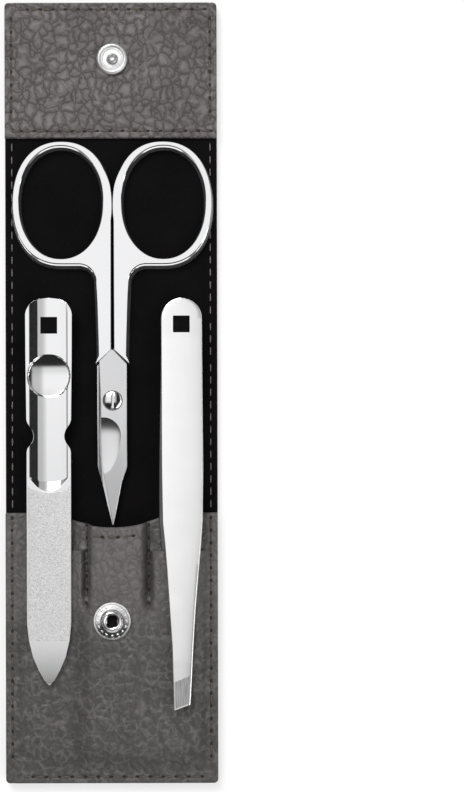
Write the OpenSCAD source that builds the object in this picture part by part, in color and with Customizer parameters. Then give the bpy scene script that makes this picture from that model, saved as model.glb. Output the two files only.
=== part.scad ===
// Manicure set case: a folding leather case with a snap, holding scissors, a nail file and tweezers.
// The case lies open and flat on its back: +X to the right, +Y towards the end of the flap, +Z up.
// The origin is under the middle of the open case, level with the lowest point of the badge.

/* [Case] */
// Width of the case
case_w = 49.75; // [49.5:0.05:53]
// Length of the case when it lies open
case_len = 183; // [183:0.5:186]
// Radius of the case's outer corners
corner_r = 1; // [0.8:0.1:2]
// Thickness of the outer leather
leather_t = 1.2; // [1.1:0.05:1.3]
// Thickness of the stiffening board let into the leather
board_t = 0.4; // [0.3:0.05:0.5]
// Distance from the case's edge to the stiffening board
board_inset = 3.2; // [3:0.1:5]
// Thickness of the lining
lining_t = 0.6; // [0.5:0.05:0.7]
// Thickness of the leather facing at the end of the flap
facing_t = 1; // [0.9:0.05:1.1]
// Length of the leather facing at the end of the flap
facing_len = 31.8; // [31.5:0.05:32]
// Place of the first fold, measured along the case from its middle
fold_y = 7.95; // [7.9:0.05:8.1]
// Height of the closed case's end wall, between the two folds
spine_h = 9.4; // [9.4:0.05:9.6]

/* [Pocket] */
// Thickness of the pocket's leather
pocket_t = 1.1; // [1:0.05:1.15]
// Place of the pocket's straight top edge along the case
pocket_top_y = -28.1; // [-28.2:0.05:-28]
// Radius of the scoop in the pocket's mouth, about the scissors' screw
scoop_r = 29.5; // [29.4:0.05:29.7]
// Place of the two side slits along the case
slit_y = -36.8; // [-37:0.1:-36.6]
// Width of the cut at each side slit
slit_gap = 0.2; // [0.1:0.05:0.3]
// Place of the left row of dividing stitches
left_divider_x = -5.8; // [-5.9:0.05:-5.7]
// Place of the right row of dividing stitches
right_divider_x = 8.7; // [8.6:0.05:8.8]
// Room under the pocket's leather in the middle
mid_room = 4.3; // [4.25:0.05:4.35]
// Room under the pocket's leather on the left, where the file lies on top
left_room = 1.2; // [1.1:0.05:1.2]
// Room under the pocket's leather on the right, where the tweezers' lower arm goes
right_room = 3.6; // [3.55:0.05:3.65]

/* [Snap] */
// Place of the snap across the case
snap_x = 0.4; // [0.3:0.05:0.5]
// Place of the snap's socket along the case
snap_y = -52.9; // [-53:0.05:-52.8]
// Diameter of the snap's socket
socket_d = 8.7; // [8.4:0.1:8.8]
// Height of the snap's socket
socket_h = 1.9; // [1.85:0.05:1.9]
// Diameter of the snap's stud
stud_d = 7.4; // [7:0.1:7.6]
// Diameter of the ball on the stud
ball_d = 2.2; // [2.1:0.05:2.2]
// Diameter of the hole that takes the ball
mouth_d = 2.8; // [2.75:0.05:2.85]
// Diameter of the spring wires in the socket
wire_d = 0.4; // [0.3:0.05:0.4]

/* [Badge] */
// Side of the square badge on the flap
badge_w = 7.75; // [7:0.25:8]
// How far the badge stands out of the leather
badge_t = 0.4; // [0.3:0.05:0.5]
// Width of the badge's frame
badge_rim = 0.9; // [0.7:0.1:1.2]
// Distance from the end of the flap to the middle of the badge
badge_from_end = 14; // [13.7:0.1:14.3]

/* [Scissors] */
// Place of the scissors' screw along the case
screw_y = -1.8; // [-1.9:0.05:-1.7]
// Length of the blades below the screw
blade_len = 29.2; // [28.8:0.05:29.2]
// Width of a finger hole
finger_hole_w = 18.95; // [18.8:0.05:19.2]
// Length of a finger hole
finger_hole_l = 25.45; // [25:0.05:25.6]
// Thickness of one half at the joint
half_t = 1.05; // [1:0.05:1.05]
// Diameter of the screw's head
screw_head_d = 4.5; // [4.2:0.1:4.6]
// Diameter of the screw's shank
screw_d = 2.4; // [2.2:0.1:2.6]

/* [Nail file] */
// Place of the file across the case
file_x = -14.4; // [-14.5:0.05:-14.4]
// Place of the file's rounded end along the case
file_top_y = 22.2; // [22:0.05:22.3]
// Width of the file's handle
file_w = 10.9; // [10.6:0.1:10.9]
// Width of the file's blade
file_blade_w = 10.3; // [10:0.1:10.4]
// Length of the file
file_len = 90.3; // [90:0.05:90.4]
// Thickness of the file
file_t = 1.2; // [1.1:0.05:1.3]
// Thickness of the grit coating
grit_t = 0.12; // [0.1:0.01:0.14]
// Diameter of the thumb dish
dish_d = 9.6; // [9:0.1:9.8]

/* [Tweezers] */
// Place of the tweezers across the case
tweezers_x = 16.55; // [16.45:0.05:16.6]
// Place of the tweezers' rounded end along the case
tweezers_top_y = 22.05; // [21.8:0.05:22.1]
// Width of the tweezers at the handle
tweezers_w = 9.5; // [9.2:0.1:9.6]
// Length of the tweezers
tweezers_len = 95.55; // [95.3:0.05:95.6]
// Thickness of each arm
arm_t = 1; // [0.9:0.05:1]
// Length over which the two arms are welded together
weld_len = 8.8; // [8.4:0.1:9]
// Angle by which the lower arm is turned out to the left of the upper one
arm_turn = 1.2; // [0.8:0.1:1.3]

/* [Stitching] */
// Distance from the case's edge to the stitches
stitch_inset = 1.6; // [1.5:0.05:1.7]
// Distance from one stitch to the next
stitch_pitch = 3; // [2.8:0.1:3.2]
// Length of one stitch
stitch_len = 2.1; // [1.8:0.1:2.3]
// Width of the thread
thread_w = 0.5; // [0.4:0.05:0.6]
// How far the thread stands above the surface
thread_h = 0.12; // [0.08:0.01:0.14]

/* [Hidden] */
$fn = 64;
eps = 0.01;

half_w = case_w / 2;
end_y = case_len / 2;
spine_end_y = fold_y + spine_h;
stud_y = fold_y + spine_end_y - snap_y;
facing_y = end_y - facing_len;
badge_y = end_y - badge_from_end;
stitch_x = half_w - stitch_inset;
stitch_end_y = end_y - stitch_inset;

// Heights of the layers, from the badge's face upwards
skin_z = badge_t;
lining_z = skin_z + leather_t;
floor_z = lining_z + lining_t;
facing_top_z = floor_z + facing_t;
pocket_flat_z = floor_z + pocket_t;
seat_z = floor_z + mid_room + pocket_t;
scissors_z = floor_z + 0.15;
scissors_mid_z = scissors_z + half_t;
front_z = scissors_mid_z + 0.05;
scissors_top_z = front_z + half_t;
ring_t = scissors_top_z - scissors_z;
file_z = floor_z + 2.5;
weld_z = floor_z + 3.55;

// Free edges of the pocket's cavity, inside its seams
cavity_half_w = 22.4;
cavity_end_y = -88.7;
pinch_w = 1.15;

// ---------- shared shapes ----------

function limit(t) = min(1, max(0, t));
function ease(t) = limit(t) * limit(t) * (3 - 2 * limit(t));
function mix(a, b, t) = a + (b - a) * t;
// Rises steeply from 0 and levels out at 1, as leather does beside a seam
function shoulder(t) = pow(1 - pow(1 - limit(t), 2.5), 0.4);
function arc_points(c, rx, ry, a0, a1, n = 12) =
    [for (i = [0:n]) let (a = mix(a0, a1, i / n)) [c[0] + rx * cos(a), c[1] + ry * sin(a)]];
// Part of an oval that is fuller than an ellipse the more power exceeds 2
function oval_points(c, rx, ry, power, a0, a1, n) =
    [for (i = [0:n]) let (a = mix(a0, a1, i / n)) c + [
        rx * sign(cos(a)) * pow(abs(cos(a)), 2 / power),
        ry * sign(sin(a)) * pow(abs(sin(a)), 2 / power)]];
function rounded_box(x0, x1, y0, y1, r) = concat(
    arc_points([x1 - r, y1 - r], r, r, 0, 90, 6),
    arc_points([x0 + r, y1 - r], r, r, 90, 180, 6),
    arc_points([x0 + r, y0 + r], r, r, 180, 270, 6),
    arc_points([x1 - r, y0 + r], r, r, 270, 360, 6));
function flip_x(points) = [for (p = points) [-p[0], p[1]]];

module plate(points, z, t) {
    translate([0, 0, z]) linear_extrude(t) polygon(points);
}

// The stretch of the whole case's outline from y0 to y1
module case_slice(y0, y1, z, t) {
    intersection() {
        plate(rounded_box(-half_w, half_w, -end_y, end_y, corner_r), z, t);
        translate([-half_w, y0, z]) cube([case_w, y1 - y0, t]);
    }
}

module board(y0, y1, z, t) {
    inner = half_w - board_inset;
    plate(rounded_box(-inner, inner, y0, y1, 1), z, t);
}

// A row of stitches from point a to point b, lying on the height that z gives
module stitch_row(a, b, z) {
    run = norm(b - a);
    count = max(1, round(run / stitch_pitch));
    turn = atan2(b[1] - a[1], b[0] - a[0]);
    for (i = [0:count - 1]) {
        p = a + (b - a) * (i + 0.5) / count;
        translate([p[0], p[1], z]) rotate([0, 0, turn])
            translate([-stitch_len / 2, -thread_w / 2, 0]) cube([stitch_len, thread_w, thread_h]);
    }
}

module side_rows(y0, y1, z) {
    for (x = [-stitch_x, stitch_x]) stitch_row([x, y0], [x, y1], z);
}

// ---------- back of the case ----------

module back_leather() {
    color("dimgray") difference() {
        case_slice(-end_y, fold_y, skin_z, leather_t);
        board(-end_y + board_inset, fold_y - 1, lining_z - board_t, board_t + eps);
    }
}

module back_board() {
    color("tan") board(-end_y + board_inset, fold_y - 1, lining_z - board_t, board_t);
}

module back_lining() {
    color([0.09, 0.08, 0.09]) case_slice(-end_y, fold_y, lining_z, lining_t);
}

module lining_edge_stitching() {
    color("darkgray") side_rows(pocket_top_y + 0.6, fold_y - 0.6, floor_z);
}

// ---------- pocket ----------

// Room under the leather at a point: low over the left channel, high over the middle and the right
function room_across(x) = x < snap_x
    ? mix(left_room, mid_room, ease((x + 9.4) / 5.2))
    : mix(mid_room, right_room, ease((x - 5) / 4));
function room_edge(x) = shoulder((cavity_half_w - abs(x)) / 2.2);
function room_end(y) = shoulder((y - cavity_end_y) / 7);
// The dividing stitches hold the leather down as far as their lower ends
function held(y) = ease((y + 53) / 8);
function pinch(x, y, divider) = 1 - held(y) * exp(-pow((x - divider) / pinch_w, 2));
function pocket_room(x, y) = room_across(x) * room_edge(x) * room_end(y)
    * pinch(x, y, left_divider_x) * pinch(x, y, right_divider_x);
function pocket_top_z(x, y) = floor_z + pocket_room(x, y) + pocket_t;

// The mouth: a straight edge with a round scoop about the scissors' screw
function scoop_y(x) = screw_y - sqrt(scoop_r * scoop_r - pow(x - snap_x, 2));
function between_dividers(x) = x > left_divider_x + 0.2 && x < right_divider_x - 0.2;
function sheet_top_y(x) = between_dividers(x) ? scoop_y(x) : slit_y;

divider_steps = [-2.4, -1.6, -0.9, -thread_w / 2, 0, thread_w / 2, 0.9, 1.6];
seam_w = half_w - cavity_half_w;
seam_steps = [0, seam_w - 0.95, seam_w, seam_w + 0.4, seam_w + 1, seam_w + 2.2];
pocket_xs = concat(
    [for (s = seam_steps) s - half_w],
    [-18, -15.5, -13, -10.6, -9.4],
    [for (s = divider_steps) left_divider_x + s],
    [-2.7, -1.2, 0.4, 2, 3.5, 5],
    [for (s = divider_steps) right_divider_x + s],
    [11.1, 13, 16, 18.4],
    [for (i = [len(seam_steps) - 1:-1:0]) half_w - seam_steps[i]]);
pocket_ys = concat(
    [-end_y, -90.5, cavity_end_y, -88.4, -87.8, -87, -86, -84.8, -83.2, -81, -77, -72, -67, -62],
    [-57.5, -54.5],
    [for (y = [-53:1:-44]) y],
    [-41.5, -39.5]);
mouth_rows = 3;
row_count = len(pocket_ys) + mouth_rows;

function row_y(x, j) = j < len(pocket_ys)
    ? pocket_ys[j]
    : mix(pocket_ys[len(pocket_ys) - 1], sheet_top_y(x), (j - len(pocket_ys) + 1) / mouth_rows);

// The pocket's sheet as one closed skin: a grid below, the same grid above, and walls round them
module pocket_sheet() {
    nx = len(pocket_xs);
    ny = row_count;
    lower = [for (x = pocket_xs, j = [0:ny - 1]) let (y = row_y(x, j))
        [x, y, floor_z + pocket_room(x, y)]];
    upper = [for (p = lower) p + [0, 0, pocket_t]];
    n = nx * ny;
    cells = [for (i = [0:nx - 2], j = [0:ny - 2]) i * ny + j];
    rim = concat(
        [for (i = [0:nx - 2]) i * ny],
        [for (j = [0:ny - 2]) (nx - 1) * ny + j],
        [for (i = [nx - 1:-1:1]) i * ny + ny - 1],
        [for (j = [ny - 1:-1:1]) j]);
    polyhedron(concat(lower, upper), concat(
        [for (c = cells) [c, c + ny, c + ny + 1]],
        [for (c = cells) [c, c + ny + 1, c + 1]],
        [for (c = cells) [n + c, n + c + ny + 1, n + c + ny]],
        [for (c = cells) [n + c, n + c + 1, n + c + ny + 1]],
        [for (k = [0:len(rim) - 1]) let (a = rim[k], b = rim[(k + 1) % len(rim)]) [a, n + b, b]],
        [for (k = [0:len(rim) - 1]) let (a = rim[k], b = rim[(k + 1) % len(rim)]) [a, n + a, n + b]]));
}

// The flat band between the mouth and a side slit; side is -1 on the left and 1 on the right
module pocket_band(side) {
    divider = side < 0 ? left_divider_x : right_divider_x;
    inner_x = divider - side * 0.3;
    scoop_start = asin((screw_y - pocket_top_y) / scoop_r);
    scoop_stop = acos(side * (inner_x - snap_x) / scoop_r);
    scoop = [for (i = [0:10]) let (a = mix(scoop_start, scoop_stop, i / 10))
        [snap_x + side * scoop_r * cos(a), screw_y - scoop_r * sin(a)]];
    ear_x = side * (cavity_half_w + 0.3);
    plate(concat(
        [[side * half_w, slit_y - 1], [side * half_w, pocket_top_y]],
        scoop,
        [[inner_x, slit_y + slit_gap], [ear_x, slit_y + slit_gap], [ear_x, slit_y - 1]]),
        floor_z, pocket_t);
}

module pocket_front() {
    color("dimgray") difference() {
        union() {
            intersection() {
                pocket_sheet();
                case_slice(-end_y, 0, floor_z - 1, 12);
            }
            pocket_band(-1);
            pocket_band(1);
        }
        translate([snap_x, snap_y, floor_z]) cylinder(d = post_d + 0.1, h = 12);
    }
}

module pocket_edge_stitching() {
    color([0.2, 0.17, 0.15]) {
        side_rows(-end_y + 3.6, pocket_top_y - 1, pocket_flat_z);
        stitch_row([-stitch_x + 2, -stitch_end_y], [stitch_x - 2, -stitch_end_y], pocket_flat_z);
    }
}

module pocket_mouth_stitching() {
    color([0.2, 0.17, 0.15]) for (a = [-6.5, 0, 6.5]) {
        p = [snap_x + (scoop_r + 2.2) * sin(a), screw_y - (scoop_r + 2.2) * cos(a)];
        translate([p[0], p[1], seat_z]) rotate([0, 0, a])
            translate([-stitch_len / 2, -thread_w / 2, 0]) cube([stitch_len, thread_w, thread_h]);
    }
}

module pocket_divider_stitching() {
    color([0.2, 0.17, 0.15]) for (x = [left_divider_x, right_divider_x], y = [-50.2:stitch_pitch:-32]) {
        high = max([for (dx = [-1, 1], dy = [-1, 1])
            pocket_top_z(x + dx * thread_w / 2, y + dy * stitch_len / 2)]);
        translate([x - thread_w / 2, y - stitch_len / 2, high + 0.06])
            cube([thread_w, stitch_len, thread_h]);
    }
}

// ---------- snap ----------

post_d = 3.2;
wire_x = mouth_d / 2 - 0.05;

module socket_post() {
    color("silver") translate([snap_x, snap_y, seat_z - pocket_t - 0.5]) difference() {
        union() {
            cylinder(d = 7.2, h = 0.5);
            cylinder(d = post_d, h = 0.95 + pocket_t);
        }
        translate([0, 0, -eps]) cylinder(d = 1.8, h = 4);
    }
}

module snap_socket() {
    r = socket_d / 2;
    color("gainsboro") translate([snap_x, snap_y, seat_z]) rotate_extrude() polygon([
        [post_d / 2 + 0.05, 0], [r, 0], [r, 0.35], [r - 0.25, 0.75], [r - 0.75, 0.9], [r - 1.15, 0.8],
        [r - 1.75, 1.3], [r - 2.1, socket_h - 0.15], [r - 2.45, socket_h], [mouth_d / 2, socket_h - 0.15],
        [mouth_d / 2, 1.2], [2.2, 1.2], [2.2, 0.55], [post_d / 2 + 0.05, 0.55]
    ]);
}

module socket_spring(side) {
    color("gold") translate([snap_x + side * wire_x, snap_y - 1.1, seat_z + 0.85])
        rotate([-90, 0, 0]) cylinder(d = wire_d, h = 2.2);
}

module snap_stud() {
    r = stud_d / 2;
    color("gainsboro") translate([snap_x, stud_y, facing_top_z]) difference() {
        union() {
            rotate_extrude() polygon([
                [0, 0], [r, 0], [r, 0.45], [r - 0.3, 0.85], [r - 0.8, 1], [r - 1.2, 0.8], [0, 0.8]
            ]);
            cylinder(d = 1.7, h = 1.6);
            translate([0, 0, 1.6]) sphere(d = ball_d);
        }
        translate([0, 0, 1.7]) cylinder(d = 0.9, h = 2);
    }
}

rivet_d = 1.5;
rivet_head_d = 5.2;

module stud_rivet() {
    color("silver") translate([snap_x, stud_y, skin_z]) {
        cylinder(d = rivet_head_d, h = 0.4);
        cylinder(d = rivet_d, h = facing_top_z - skin_z);
    }
}

module rivet_hole() {
    translate([snap_x, stud_y, 0]) cylinder(d = rivet_d + 0.1, h = 10);
}

// ---------- spine and flap ----------

module spine_leather() {
    color("dimgray") case_slice(fold_y, spine_end_y, skin_z, leather_t);
}

module spine_lining() {
    color([0.09, 0.08, 0.09]) case_slice(fold_y, spine_end_y, lining_z, lining_t);
}

module spine_stitching() {
    color("darkgray") side_rows(fold_y + 0.4, spine_end_y - 0.4, floor_z);
}

module flap_leather() {
    color("dimgray") difference() {
        case_slice(spine_end_y, end_y, skin_z, leather_t);
        board(spine_end_y + 1, end_y - board_inset, lining_z - board_t, board_t + eps);
        translate([snap_x, stud_y, 0]) cylinder(d = rivet_head_d + 0.1, h = skin_z + 0.4);
        rivet_hole();
    }
}

module flap_board() {
    color("tan") difference() {
        board(spine_end_y + 1, end_y - board_inset, lining_z - board_t, board_t);
        rivet_hole();
    }
}

module flap_lining() {
    color([0.09, 0.08, 0.09]) difference() {
        case_slice(spine_end_y, end_y, lining_z, lining_t);
        rivet_hole();
    }
}

module flap_facing() {
    color("gray") difference() {
        case_slice(facing_y, end_y, floor_z, facing_t);
        rivet_hole();
    }
}

module flap_edge_stitching() {
    color([0.2, 0.17, 0.15]) {
        side_rows(facing_y + 3.4, stitch_end_y - 2, facing_top_z);
        stitch_row([-stitch_x + 1, stitch_end_y], [stitch_x - 1, stitch_end_y], facing_top_z);
    }
}

module flap_lining_stitching() {
    color("darkgray") side_rows(spine_end_y + 0.6, facing_y - 0.6, floor_z);
}

module facing_seam_stitching() {
    color([0.2, 0.17, 0.15])
        stitch_row([-stitch_x - 0.4, facing_y + 1.7], [stitch_x + 0.4, facing_y + 1.7], facing_top_z);
}

module badge_frame() {
    outer = badge_w / 2;
    inner = outer - badge_rim;
    color("silver") translate([0, badge_y, 0]) difference() {
        plate(rounded_box(-outer, outer, -outer, outer, 1.3), 0, badge_t);
        plate(rounded_box(-inner, inner, -inner, inner, 0.6), -eps, badge_t + 2 * eps);
    }
}

module badge_inlay() {
    inner = badge_w / 2 - badge_rim;
    color([0.05, 0.05, 0.05]) translate([0, badge_y, 0])
        plate(rounded_box(-inner, inner, -inner, inner, 0.6), 0.1, badge_t - 0.1);
}

// ---------- scissors, drawn about their screw ----------

bow_x = 12;
shank_gap = 0.6;
joint_half_w = 3.35;
tip = [0, -blade_len];
spine_extra = 0.35;
shoulder_left = [-3.75, 8.27];
loop_c = [-11.85, 45.43];

// Left bow and shank down to the joint's shoulder: an oval loop, a flat foot, a fillet and a shank
function bow_outline() = concat(
    [[-shank_gap / 2, 42]],
    oval_points(loop_c, 11.78, 15.2, 2.25, -6, 180, 31),
    oval_points(loop_c, 11.78, 14.6, 2.25, 186, 264, 13),
    [loop_c - [0, 14.6]],
    arc_points([-7.85, 27.33], 3.5, 3.5, 90, 0, 8),
    [[-4.15, 23], [-3.87, 14], [-3.8, 10.5], shoulder_left, [-shank_gap / 2, 11.9]]);

module finger_hole(side) {
    translate([0, 0, scissors_z - 1]) linear_extrude(5)
        polygon(oval_points([side * bow_x, 45.93], finger_hole_w / 2, finger_hole_l / 2, 2.1, 0, 352.5, 47));
}

// Joint and blade of one half; the spine of the blade is on the right, and extra makes it stand out
function blade_outline(extra = 0) = [
    [-3.1, 8.6], [-3.2, 11], [-0.3, 13.5], [-0.3, 12.3], [0.3, 11.72],
    [joint_half_w + extra, 8.55 - 1.04 * extra], [joint_half_w + extra, 0],
    [joint_half_w + 0.6 * extra, -15.5], [2.1 + 1.4 * extra, -19], [1 + 0.8 * extra, -24.6],
    tip, [-2, -18.2], [-2.35, -16], [-2.7, -9], [-2.75, 0]];

module at_screw() {
    translate([snap_x, screw_y, 0]) children();
}

// Grinds a blade thinner towards its point; face is 1 for its upper face and -1 for its lower one
module grind(z, face) {
    slope = 1.1;
    translate([-10, -8, z]) rotate([face * slope, 0, 0])
        translate([0, -40, face > 0 ? 0 : -5]) cube([20, 40, 5]);
}

module scissors_front_half() {
    color("gainsboro") at_screw() difference() {
        union() {
            plate(bow_outline(), scissors_z, ring_t);
            plate(blade_outline(), front_z, half_t - 0.1);
        }
        finger_hole(-1);
        grind(front_z + half_t - 0.1, 1);
        translate([0, 0, scissors_z - 1]) cylinder(d = screw_d, h = 6);
    }
}

module scissors_back_half() {
    color("gainsboro") at_screw() difference() {
        union() {
            plate(flip_x(bow_outline()), scissors_z, ring_t);
            plate(flip_x(blade_outline(spine_extra)), scissors_z, half_t);
        }
        finger_hole(1);
        grind(scissors_z, -1);
        translate([0, 0, scissors_z - 1]) cylinder(d = screw_d + 0.1, h = 6);
    }
}

module scissors_screw() {
    color("silver") at_screw() difference() {
        union() {
            translate([0, 0, scissors_z]) cylinder(d = screw_d, h = ring_t - 0.1);
            translate([0, 0, scissors_top_z - 0.1]) cylinder(d = screw_head_d, h = 0.45);
        }
        translate([-0.25, -5, scissors_top_z + 0.1]) cube([0.5, 10, 1]);
    }
}

// ---------- nail file, drawn about its own axis ----------

file_tip_y = file_top_y - file_len;
file_top_z = file_z + file_t;
grit_top_y = -21.2;
grit_end_y = -57.8;

// Right half of the file's outline, from the rounded end down to the point
function file_half() = let (h = file_w / 2, b = file_blade_w / 2) concat(
    arc_points([0, file_top_y - 9.4], 9.4, 9.4, 90, 55.5, 6),
    [[h, file_top_y - 3.1], [h - 0.25, -6.6]],
    [[h - 0.95, -8]], arc_points([h + 2.2, -10.1], 4.1, 2.6, 160, 200, 4), [[h - 0.9, -12.4]],
    [[b, -13.6], [b, -53.8], [b - 0.4, -57.8], [b - 1.3, -61.6], [b - 2.6, -64.6], [b - 3.9, -66.7]],
    [[0.35, file_tip_y + 0.1]]);
function file_outline() = let (right = file_half(), n = len(right))
    concat(right, [for (i = [n - 1:-1:0]) [-right[i][0], right[i][1]]]);

module file_plate(z, t) {
    translate([file_x, 0, 0]) plate(file_outline(), z, t);
}

// The hollow that runs down the handle: a wide round groove with a sloping end
module handle_groove() {
    groove_r = 24;
    depth = 0.4;
    translate([file_x, 0, file_top_z - depth + groove_r]) rotate([90, 0, 0]) {
        translate([0, 0, 18.6]) rotate([-11, 0, 0]) translate([0, 0, -1]) cylinder(r = groove_r, h = 4, $fn = 128);
        translate([0, 0, -40]) cylinder(r = groove_r, h = 58.7, $fn = 128);
    }
}

module file_blank() {
    dish_r = 26;
    dish_depth = dish_r - sqrt(dish_r * dish_r - dish_d * dish_d / 4);
    color("gainsboro") difference() {
        file_plate(file_z, file_t);
        handle_groove();
        translate([file_x, 3.9, file_top_z - 0.3 - dish_depth + dish_r]) sphere(r = dish_r, $fn = 128);
    }
}

module grit(z) {
    b = file_blade_w / 2 - 0.15;
    top = arc_points([0, grit_top_y], b, -2, 0, 180, 12);
    translate([file_x, 0, 0]) plate(concat(top,
        [[-b, -53.8], [-b + 0.4, grit_end_y], [b - 0.4, grit_end_y], [b, -53.8]]), z, grit_t);
}

module file_grit_front() {
    color("lightgray") grit(file_top_z);
}

module file_grit_back() {
    color("lightgray") grit(file_z - grit_t);
}

module file_mark() {
    color([0.05, 0.05, 0.05]) translate([file_x, 15.8, file_top_z - 0.33])
        plate(rounded_box(-1.95, 1.95, -1.95, 1.95, 0.2), 0, 0.1);
}

// ---------- tweezers ----------

weld_y = tweezers_top_y - weld_len;
tweezers_tip_y = tweezers_top_y - tweezers_len;

// Plan of an arm: round end, straight handle, then a long taper to a slanted tip
function arm_plan() = let (h = tweezers_w / 2) concat(
    arc_points([tweezers_x, tweezers_top_y - h], h, h, 0, 180, 20),
    [[tweezers_x - h + 0.1, -18], [tweezers_x - h + 0.3, -30]],
    [[12.65, -35.4], [13.1, -41], [13.7, -50], [14.3, -59], [14.7, tweezers_tip_y]],
    [[18.5, tweezers_tip_y + 1.4], [19.2, -59], [19.75, -50], [20.5, -41], [21, -35.4]],
    [[tweezers_x + h + 0.1, -30], [tweezers_x + h + 0.25, -18]]);

// Side view of an arm as heights of its underside above the case's floor, from the weld to the tip
upper_profile = [[weld_y, 0], [5, 0.18], [-5, 0.5], [-15, 0.9], [-22, 1.22], [-35, 1.75],
    [-50, 2.35], [-62, 2.75], [tweezers_tip_y - 1, 3]];
lower_profile = [[weld_y, 2.55], [0, 2.55], [-9, 2.5], [-14, 2.32], [-20, 1.95], [-28, 1.5],
    [-36.8, 1.18], [-48, 0.85], [-60, 0.6], [tweezers_tip_y - 1, 0.45]];

module arm_side(profile, z) {
    outline = concat([for (p = profile) [p[0], p[1] + z]],
        [for (i = [len(profile) - 1:-1:0]) [profile[i][0], profile[i][1] + z + arm_t]]);
    rotate([90, 0, 90]) linear_extrude(40) polygon(outline);
}

module tweezers_upper_arm() {
    color("silver") intersection() {
        plate(arm_plan(), 0, 20);
        union() {
            arm_side(upper_profile, weld_z);
            translate([0, weld_y, weld_z]) cube([40, weld_len + 1, arm_t]);
        }
    }
}

module tweezers_heel() {
    color("silver") intersection() {
        plate(arm_plan(), 0, 20);
        translate([0, weld_y, weld_z - arm_t]) cube([40, weld_len + 1, arm_t]);
    }
}

module tweezers_lower_arm() {
    color("silver") intersection() {
        translate([tweezers_x, weld_y, 0]) rotate([0, 0, -arm_turn]) translate([-tweezers_x, -weld_y, 0])
            plate(arm_plan(), 0, 20);
        arm_side(lower_profile, floor_z);
    }
}

module tweezers_mark() {
    color([0.05, 0.05, 0.05]) translate([tweezers_x, 16, weld_z + arm_t])
        plate(rounded_box(-1.95, 1.95, -1.95, 1.95, 0.2), 0, 0.06);
}

// ---------- the parts ----------

back_leather();
back_board();
back_lining();
lining_edge_stitching();
pocket_front();
pocket_edge_stitching();
pocket_mouth_stitching();
pocket_divider_stitching();
socket_post();
snap_socket();
socket_spring(-1);  // socket_spring_left
socket_spring(1);  // socket_spring_right
spine_leather();
spine_lining();
spine_stitching();
flap_leather();
flap_board();
flap_lining();
flap_facing();
flap_edge_stitching();
flap_lining_stitching();
facing_seam_stitching();
snap_stud();
stud_rivet();
badge_frame();
badge_inlay();
scissors_front_half();
scissors_back_half();
scissors_screw();
file_blank();
file_grit_front();
file_grit_back();
file_mark();
tweezers_upper_arm();
tweezers_heel();
tweezers_lower_arm();
tweezers_mark();
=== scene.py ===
"""Looks of a manicure set case: a folding leather case with a press stud, and its three tools."""

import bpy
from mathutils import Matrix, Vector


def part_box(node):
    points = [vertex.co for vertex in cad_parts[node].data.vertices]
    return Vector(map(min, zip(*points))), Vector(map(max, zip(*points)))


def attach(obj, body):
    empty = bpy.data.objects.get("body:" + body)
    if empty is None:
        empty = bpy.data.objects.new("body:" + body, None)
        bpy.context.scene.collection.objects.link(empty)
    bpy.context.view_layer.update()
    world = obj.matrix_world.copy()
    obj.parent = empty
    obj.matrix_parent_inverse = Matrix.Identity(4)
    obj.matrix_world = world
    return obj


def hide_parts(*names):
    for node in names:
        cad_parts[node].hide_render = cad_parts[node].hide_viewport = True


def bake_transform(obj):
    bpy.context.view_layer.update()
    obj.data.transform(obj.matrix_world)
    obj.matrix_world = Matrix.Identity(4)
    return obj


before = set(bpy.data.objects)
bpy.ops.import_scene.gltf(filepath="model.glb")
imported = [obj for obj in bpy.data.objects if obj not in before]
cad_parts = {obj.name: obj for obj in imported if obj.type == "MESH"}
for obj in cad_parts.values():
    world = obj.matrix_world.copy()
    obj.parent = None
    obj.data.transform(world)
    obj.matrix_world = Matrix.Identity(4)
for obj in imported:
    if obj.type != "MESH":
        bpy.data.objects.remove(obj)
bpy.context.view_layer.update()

import math

import bpy
import numpy as np
from bpy.props import FloatProperty, FloatVectorProperty, PointerProperty
from mathutils import Matrix, Vector

bl_info = {
    "name": "Manicure Set Case",
    "version": (1, 0, 0),
    "blender": (4, 5, 0),
    "location": "View3D > Sidebar > Manicure Case",
    "description": "Dresses the manicure set case: leather, stitching, snap and steel tools",
    "category": "Object",
}

MM = 0.001
SAME_PLACE = 1e-7


# ---------- places that the frame gives, in millimetres ----------

def low(node):
    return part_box(node)[0] / MM


def high(node):
    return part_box(node)[1] / MM


def middle(node):
    """The node's middle across and along the case."""
    (x0, y0, _), (x1, y1, _) = low(node), high(node)
    return (x0 + x1) / 2, (y0 + y1) / 2


HALF_W = high("back_leather").x
END_Y = high("flap_leather").y
FOLD_Y = high("back_leather").y
SPINE_END_Y = high("spine_leather").y
SPINE_MID_Y = (FOLD_Y + SPINE_END_Y) / 2
SKIN_Z = low("back_leather").z
LINING_Z = low("back_lining").z
FLOOR_Z = high("back_lining").z
FACING_Y = low("flap_facing").y
FACING_TOP = high("flap_facing").z
POCKET_T = 1.1
CORNER_R = 1.0
SEAM_Z = FLOOR_Z + POCKET_T
STITCH_INSET = 1.6
STITCH_X = HALF_W - STITCH_INSET
STITCH_END_Y = END_Y - STITCH_INSET
FACING_SEAM_INSET = 1.7
SCREW_X, SCREW_Y = middle("scissors_screw")
SCISSORS_Z = low("scissors_back_half").z
SCISSORS_TOP = high("scissors_front_half").z
SNAP_X, SNAP_Y = middle("snap_socket")
SEAT_Z = low("snap_socket").z
STUD_Y = middle("snap_stud")[1]
BADGE_Y = middle("badge_frame")[1]
FILE_X = middle("file_blank")[0]
FILE_Z = low("file_blank").z
FILE_TOP = high("file_blank").z
MARK_Y = middle("file_mark")[1]
TWEEZERS_X = middle("tweezers_heel")[0]


# ---------- selecting and finishing ----------

def deselect():
    bpy.ops.object.select_all(action="DESELECT")


def pick(*pieces):
    deselect()
    for piece in pieces:
        piece.select_set(True)
    bpy.context.view_layer.objects.active = pieces[0]


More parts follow.
